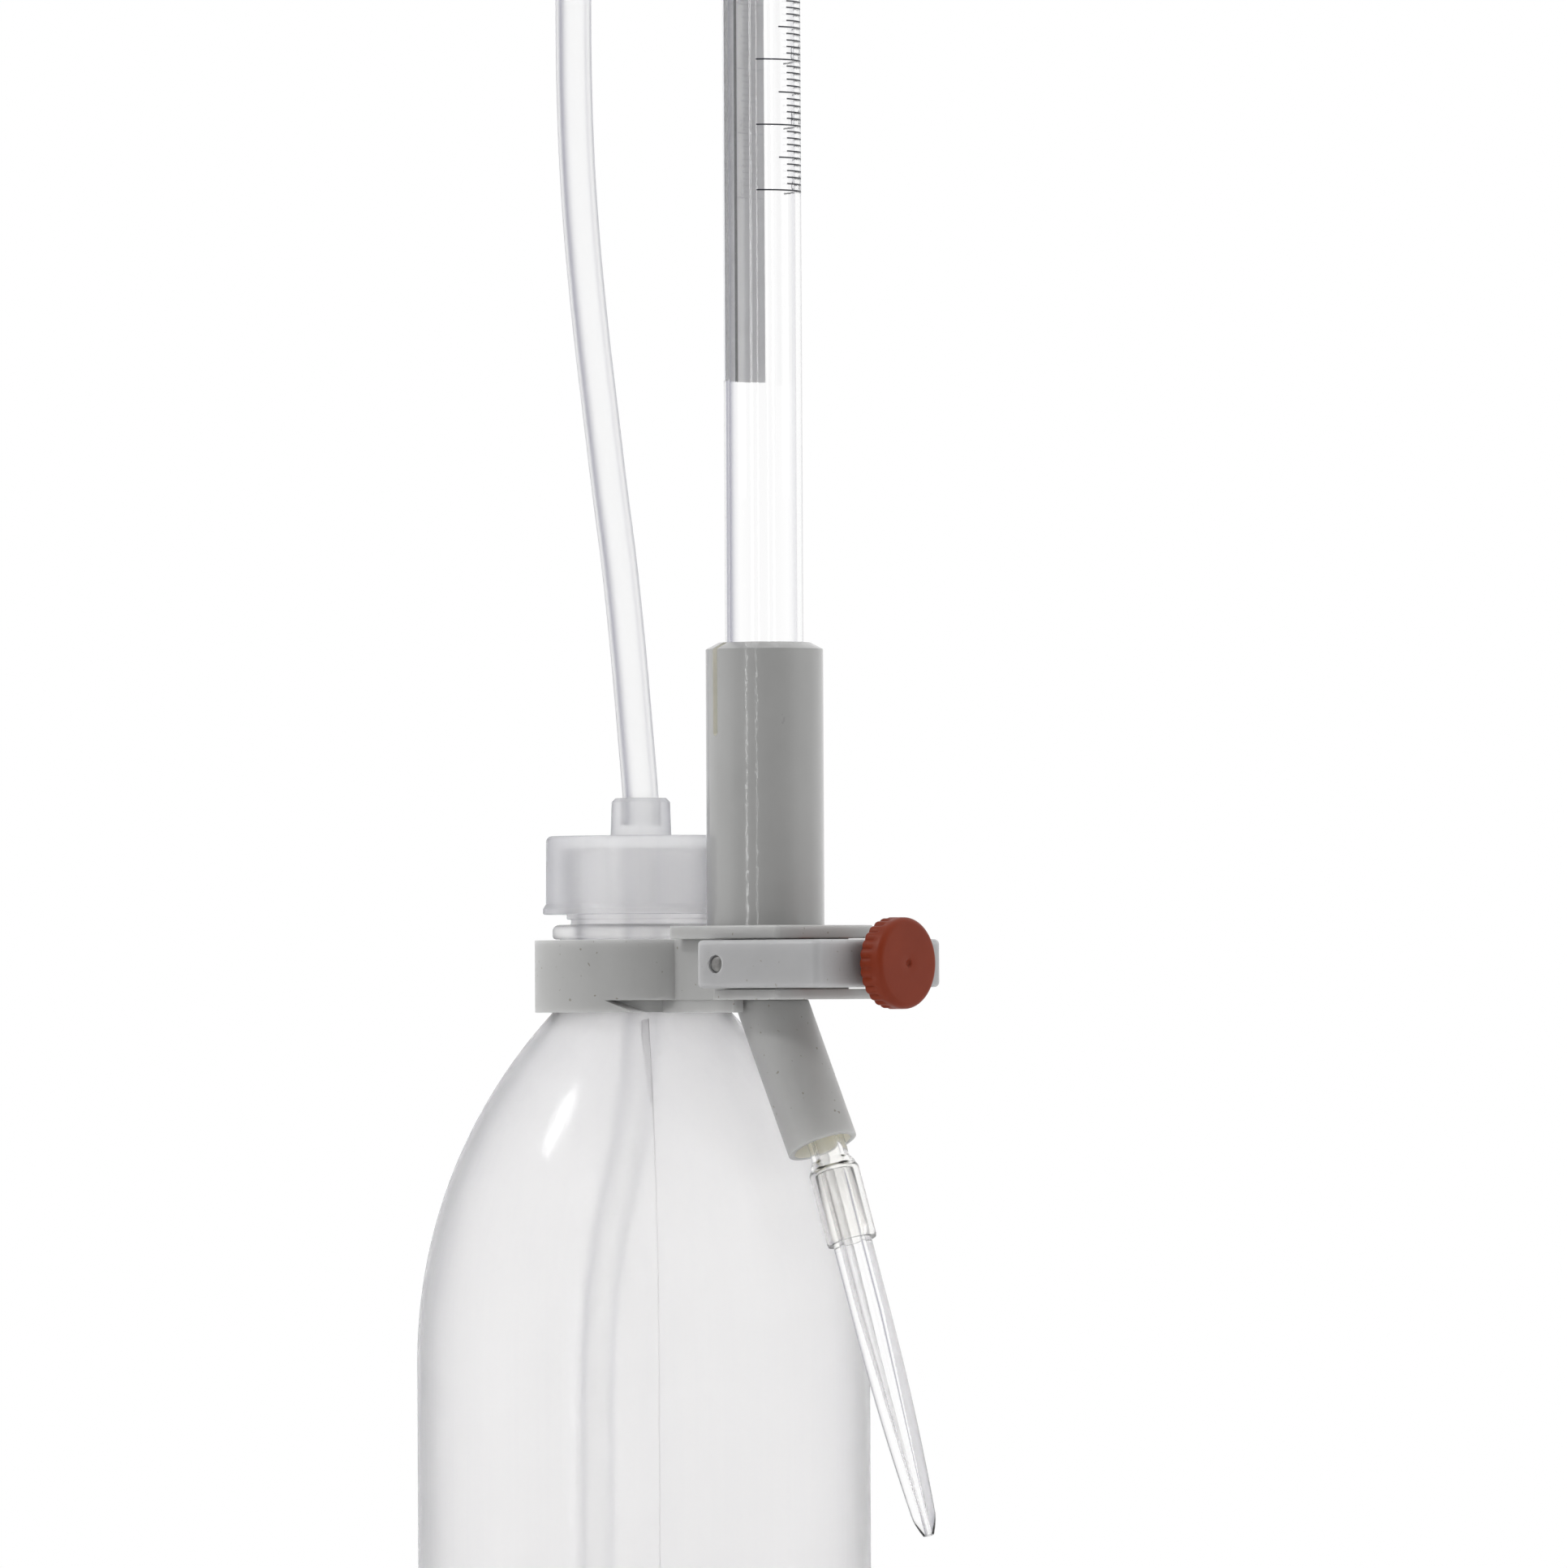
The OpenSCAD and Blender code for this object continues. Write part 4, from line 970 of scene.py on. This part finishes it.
def make_pinch_tube():
    """Soft tube from the glass's nipple, flat in the valve, through the spout and over the tip."""
    round_tube = (TUBE_R, TUBE_R, TUBE_BORE_R, TUBE_BORE_R)
    flat = (1.2, 4.0, 0.05, 2.6)
    opening = (2.9, 3.2, 1.5, 1.9)
    sleeve = (3.72, 3.72, 2.62, 2.62)
    grip = (GRIP_R, GRIP_R, TIP_R + 0.02, TIP_R + 0.02)
    swell = (3.75, 3.75, 2.4, 2.4)
    mouth = (GRIP_R - 0.12, GRIP_R - 0.12, TIP_R + 0.05, TIP_R + 0.05)
    a = Vector((JOINT_A[0], 0, JOINT_A[1]))
    b = Vector((JOINT_B[0], 0, JOINT_B[1]))
    stations = [
        (under_glass(177.85), sleeve), (under_glass(172.5), sleeve), (under_glass(170.7), sleeve),
        (under_glass(169.5), round_tube), (under_glass(167.4), round_tube), (under_glass(164.85), flat),
        (under_glass(162.85), flat), (under_glass(160.9), opening), (a + (b - a) * 0.08, round_tube),
        (a + (b - a) * 0.3, round_tube), (a + (b - a) * 0.6, round_tube), (a + (b - a) * 0.93, round_tube),
        (along_tip(1.6), round_tube), (along_tip(3.8), round_tube), (along_tip(5.0), swell),
        (along_tip(6.1), grip), (along_tip(8), grip), (along_tip(12), grip), (along_tip(17.7), grip),
        (along_tip(18.08), mouth),
    ]
    path = []
    sections = []
    steps = 6
    for (p, s), (q, t) in zip(stations, stations[1:]):
        for k in range(steps):
            f = k / steps
            soft = f * f * (3 - 2 * f)
            path.append(p.lerp(q, f))
            sections.append(tuple(u + (v - u) * soft for u, v in zip(s, t)))
    path.append(stations[-1][0])
    sections.append(stations[-1][1])
    for _ in range(6):
        middle = [(path[i - 1] + path[i] * 2 + path[i + 1]) / 4 for i in range(1, len(path) - 1)]
        path = [path[0]] + middle + [path[-1]]
    mesh = sweep("pinch_hose", path, sections, 48)
    obj = link("pinch_hose", mesh, SILICONE, "frame", 50)
    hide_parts("pinch_tube")


def make_tip():
    """Drawn glass tip: a straight grip, a long taper and a bevelled mouth."""
    taper = 34
    bevel = 3.8
    start = TIP_LEN - bevel - taper
    outer = [(TIP_BORE_R, 0), (TIP_R - 0.3, 0), (TIP_R, 0.3), (TIP_R, start * 0.5)]
    bore = [(TIP_MOUTH_R, TIP_LEN), (TIP_MOUTH_R, TIP_LEN - bevel)]
    for k in range(25):
        t = k / 24
        outer.append((TIP_R - (TIP_R - TIP_LOW_R) * t * t, start + taper * t))
    for k in range(1, 9):
        t = k / 8
        outer.append((TIP_LOW_R - 1.1 * t ** 1.6, TIP_LEN - bevel + bevel * t))
    for k in range(1, 13):
        t = k / 12
        bore.append((TIP_MOUTH_R + (TIP_BORE_R - TIP_MOUTH_R) * t, TIP_LEN - bevel - taper * t))
    place = leaning(JOINT_B[0], JOINT_B[1], TIP_TILT) @ Matrix.Translation((0, 0, TIP_FROM))
    mesh = lathe("tip_glass", outer + bore, segments=96, place=place)
    obj = link("tip_glass", mesh, TIP_GLASS, "frame", 50)
    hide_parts("glass_tip")


make_pinch_tube()
make_tip()


# Knob, screw, spring and pins

KNOB_BACK = 53.1
KNOB_T = 4.4
KNOB_R = 7.5
KNOB_ROUND = 1.1
KNOB_HOLE_R = 2.02
KNOB_HOLE_DEPTH = 2.62
LOBES = 28
LOBE_DEPTH = 0.32
PIN_X = 29.8
PIN_R = 1.45
PIN_START = 6.8
PIN_LEN = 9.1
PIN_DOME = 0.2


def make_knob():
    """Rounded lobes behind a smooth rounded front edge, with a dimple in the face."""
    segments = LOBES * 14
    profile = [(0, KNOB_HOLE_DEPTH, 0), (KNOB_HOLE_R, KNOB_HOLE_DEPTH, 0), (KNOB_HOLE_R, 0, 0),
               (6.6, 0, 0.2), (7.2, 0, 0.7), (7.4, 0.12, 0.9), (KNOB_R, 0.4, 1)]
    for k in range(1, 9):
        t = k / 8
        profile.append((KNOB_R, 0.4 + 2.3 * t, 1 - max(0, t - 0.55) ** 2 / 0.45 ** 2))
    for k in range(1, 11):
        t = math.pi / 2 * k / 10
        profile.append((KNOB_R - KNOB_ROUND + KNOB_ROUND * math.cos(t),
                        KNOB_T - KNOB_ROUND + KNOB_ROUND * math.sin(t), 0))
    profile += [(5.0, KNOB_T, 0), (2.5, KNOB_T, 0), (0.95, KNOB_T, 0), (0.72, KNOB_T - 0.05, 0),
                (0.58, KNOB_T - 0.2, 0), (0.4, KNOB_T - 0.38, 0), (0, KNOB_T - 0.45, 0)]
    verts = []
    rings = []
    place = along_x(KNOB_BACK, AXIS_Z)
    for r, h, lobe in profile:
        first = len(verts)
        if r < 1e-6:
            rings.append([first] * segments)
            verts.append(tuple(place @ Vector((0, 0, h))))
            continue
        rings.append(list(range(first, first + segments)))
        for k in range(segments):
            a = TAU * k / segments
            cut = LOBE_DEPTH * lobe * (1 - abs(math.cos(LOBES * a / 2)) ** 0.9)
            verts.append(tuple(place @ Vector(((r - cut) * math.cos(a), (r - cut) * math.sin(a), h))))
    mesh = outward(mesh_from("knob_body", verts, grid_faces(rings)))
    obj = link("knob_body", mesh, ORANGE, "knob", 60)
    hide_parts("knob")


def make_screw():
    """Threaded rod with bevelled ends."""
    start = 44.65
    length = 11.05
    radius = 2.0
    thread = 0.38
    pitch = 0.7
    segments = 36
    rows = math.ceil(length / pitch * 10)
    verts = []
    rings = []
    place = along_x(start, AXIS_Z)
    for i in range(rows + 1):
        h = length * i / rows
        ends = min(1.0, 0.6 + min(h, length - h) / 1.2)
        first = len(verts)
        rings.append(list(range(first, first + segments)))
        for k in range(segments):
            a = TAU * k / segments
            phase = (h / pitch - k / segments) % 1
            r = (radius - thread * abs(2 * phase - 1)) * ends
            verts.append(tuple(place @ Vector((r * math.cos(a), r * math.sin(a), h))))
    faces = grid_faces(rings)[:-segments]
    faces += [rings[0][::-1], rings[-1]]
    obj = link("screw_rod", outward(mesh_from("screw_rod", verts, faces)), STEEL, "knob", 50)
    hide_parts("adjusting_screw")


def make_spring():
    """Round wire coil from the anvil, with room for the drip feed before the slide's bar."""
    start = 33.4
    length = 6.2
    coil = 2.5
    wire = 0.3
    turns = 5
    around = 12
    rows = turns * 32
    verts = []
    rings = []
    for i in range(rows + 1):
        t = i / rows
        a = TAU * turns * t
        out = Vector((0, math.cos(a), math.sin(a)))
        centre = Vector((start + length * t, 0, AXIS_Z)) + out * coil
        first = len(verts)
        rings.append(list(range(first, first + around)))
        for k in range(around):
            b = TAU * k / around
            verts.append(tuple(centre + out * (wire * math.cos(b)) + Vector((wire * math.sin(b), 0, 0))))
    faces = grid_faces(rings)[:-around]
    faces += [rings[0][::-1], rings[-1]]
    obj = link("spring_coil", outward(mesh_from("spring_coil", verts, faces)), STEEL, "frame", 60)
    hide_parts("return_spring")
    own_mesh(obj)


def make_pins():
    """Two pins with slightly domed ends in the yoke's arms."""
    verts = []
    faces = []
    for side in (-1, 1):
        outline = fillet([(0, 0), (PIN_R, 0, 0.2), (PIN_R, PIN_LEN, 0.5), (0, PIN_LEN + PIN_DOME)], 5,
                         closed=False)
        place = (Matrix.Translation((PIN_X, side * PIN_START, AXIS_Z))
                 @ Matrix.Rotation(-side * math.pi / 2, 4, "X"))
        mesh = lathe("pin", outline, segments=40, place=place)
        first = len(verts)
        verts += [tuple(c / MM for c in v.co) for v in mesh.vertices]
        faces += [[first + k for k in p.vertices] for p in mesh.polygons]
        bpy.data.meshes.remove(mesh)
    obj = link("pin_pair", outward(mesh_from("pin_pair", verts, faces)), STEEL, "yoke", 50)
    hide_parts("guide_pins")


make_knob()
make_screw()
make_spring()
make_pins()


# Yoke

YOKE_REAR = 25.7
YOKE_FRONT = 51.4
YOKE_BAR = 3.8
YOKE_HALF_W = 16.3
YOKE_ARM = 6.8
YOKE_CORNERS = (0.9, 1.6)
YOKE_EDGE = 0.85
PIN_HOLE_R = 1.5
SCREW_HOLE_R = 2.15
SCREW_HOLE_LEN = 8
FAR = 20


def rounded_block(low, high, corners, edge):
    """A block with round upright corners, rear and front, and rounded edges above and below."""
    work = bmesh.new()
    bmesh.ops.create_cube(work, size=1)
    for v in work.verts:
        for i in range(3):
            v.co[i] = high[i] if v.co[i] > 0 else low[i]
    for x, corner in zip((low[0], high[0]), corners):
        upright = [e for e in work.edges if all(abs(v.co.x - x) < 1e-4 for v in e.verts)
                   and abs(e.verts[0].co.z - e.verts[1].co.z) > 1e-4]
        bmesh.ops.bevel(work, geom=upright, offset=corner, segments=8, profile=0.5, affect="EDGES")
    level = []
    for e in work.edges:
        tops = any(abs(f.normal.z) > 0.9 for f in e.link_faces)
        sides = any(abs(f.normal.z) < 0.1 for f in e.link_faces)
        if tops and sides and abs(e.verts[0].co.z - e.verts[1].co.z) < 1e-4:
            level.append(e)
    bmesh.ops.bevel(work, geom=level, offset=edge, segments=5, profile=0.5, affect="EDGES")
    bmesh.ops.scale(work, vec=(MM, MM, MM), verts=work.verts)
    mesh = bpy.data.meshes.new("block")
    work.to_mesh(mesh)
    work.free()
    return mesh


def carve(mesh, cutters):
    """The mesh with other meshes cut out of it."""
    scene = bpy.context.scene.collection.objects
    body = bpy.data.objects.new("carved", mesh)
    scene.link(body)
    extra = []
    for cutter in cutters:
        tool = bpy.data.objects.new("cutter", cutter)
        scene.link(tool)
        extra.append(tool)
        cut = body.modifiers.new("cut", "BOOLEAN")
        cut.operation = "DIFFERENCE"
        cut.solver = "EXACT"
        cut.object = tool
    bpy.context.view_layer.update()
    done = bpy.data.meshes.new_from_object(body.evaluated_get(bpy.context.evaluated_depsgraph_get()))
    for obj in [body] + extra:
        bpy.data.objects.remove(obj)
    return done


def make_yoke():
    """The push bar: a rounded block with its inside, the pin holes and the screw hole cut out."""
    half_h = (nodes["yoke"].bound_box[6][2] - nodes["yoke"].bound_box[0][2]) / MM / 2
    block = rounded_block((YOKE_REAR, -YOKE_HALF_W, AXIS_Z - half_h),
                          (YOKE_FRONT, YOKE_HALF_W, AXIS_Z + half_h), YOKE_CORNERS, YOKE_EDGE)
    inner = YOKE_HALF_W - YOKE_ARM
    bar_back = YOKE_FRONT - YOKE_BAR
    room = rounded_block((YOKE_REAR - 6, -inner, AXIS_Z - FAR), (bar_back, inner, AXIS_Z + FAR),
                         (0.6, 0.6), 0.1)
    across = Matrix.Translation((PIN_X, 0, AXIS_Z)) @ Matrix.Rotation(math.pi / 2, 4, "X")
    pin_line = [(0, -FAR), (PIN_HOLE_R, -FAR), (PIN_HOLE_R, FAR), (0, FAR)]
    pin_hole = lathe("pin_hole", pin_line, segments=48, place=across)
    along = along_x(bar_back - 2, AXIS_Z)
    screw_line = [(0, 0), (SCREW_HOLE_R, 0), (SCREW_HOLE_R, SCREW_HOLE_LEN), (0, SCREW_HOLE_LEN)]
    screw_hole = lathe("screw_hole", screw_line, segments=48, place=along)
    mesh = carve(block, [room, pin_hole, screw_hole])
    mesh.name = "yoke_body"
    obj = link("yoke_body", mesh, WHITE, "yoke", 40)
    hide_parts("yoke")


# Holder, cover, sleeve, spout, yoke, slide and head

softened("holder", "holder_body", GREY, 0.15)
softened("valve_cover", "cover_plate", GREY, 0.25)
sleeve = softened("burette_sleeve", "sleeve_body", SLEEVE, 0.1)
spout = softened("spout_tube", "spout_body", GREY, 0.2)
make_yoke()
softened("pinch_slide", "slide_body", ORANGE, 0.2, "pinch_slide")
softened("head_cap", "head_body", CAP, 0.15)

# Painted light: the bore of the spout and the walls of the slit get paler colours, which stand in for the
# light that comes through the plastic there

SLIT_ANGLE = math.radians(-107)
SLIT_HALF_W = 0.7
SLIT_LOW = 201
SLIT_NEAR = 6.5
SLIT_FAR = 9.6
SPOUT_TILT = math.radians(24.5)
SPOUT_START = Vector((28, 0, 158))
SPOUT_BORE_R = 5.0


def in_spout_bore(face):
    """True for the faces of the spout's bore."""
    axis = Vector((math.sin(SPOUT_TILT), 0, -math.cos(SPOUT_TILT)))
    out = face.center / MM - SPOUT_START
    out -= axis * out.dot(axis)
    return out.length < SPOUT_BORE_R and abs(face.normal.dot(axis)) < 0.5


def in_slit(face):
    """True for the faces of the sleeve's slit."""
    out = face.center / MM - Vector((ARM_X, 0, 0))
    across = out.x * -math.sin(SLIT_ANGLE) + out.y * math.cos(SLIT_ANGLE)
    ahead = out.x * math.cos(SLIT_ANGLE) + out.y * math.sin(SLIT_ANGLE)
    reach = Vector((out.x, out.y)).length
    return abs(across) < SLIT_HALF_W and ahead > SLIT_NEAR and out.z > SLIT_LOW and reach < SLIT_FAR


repaint(spout, PAINTED_LIGHT_BORE, in_spout_bore)
repaint(sleeve, PAINTED_LIGHT_SLIT, in_slit)

for node, material in (("riser_tube", RISER), ("zero_tube", GLASS), ("seat_ring", RUBBER)):
    data = nodes[node].data
    data.materials.clear()
    data.materials.append(material)


bpy.context.view_layer.update()
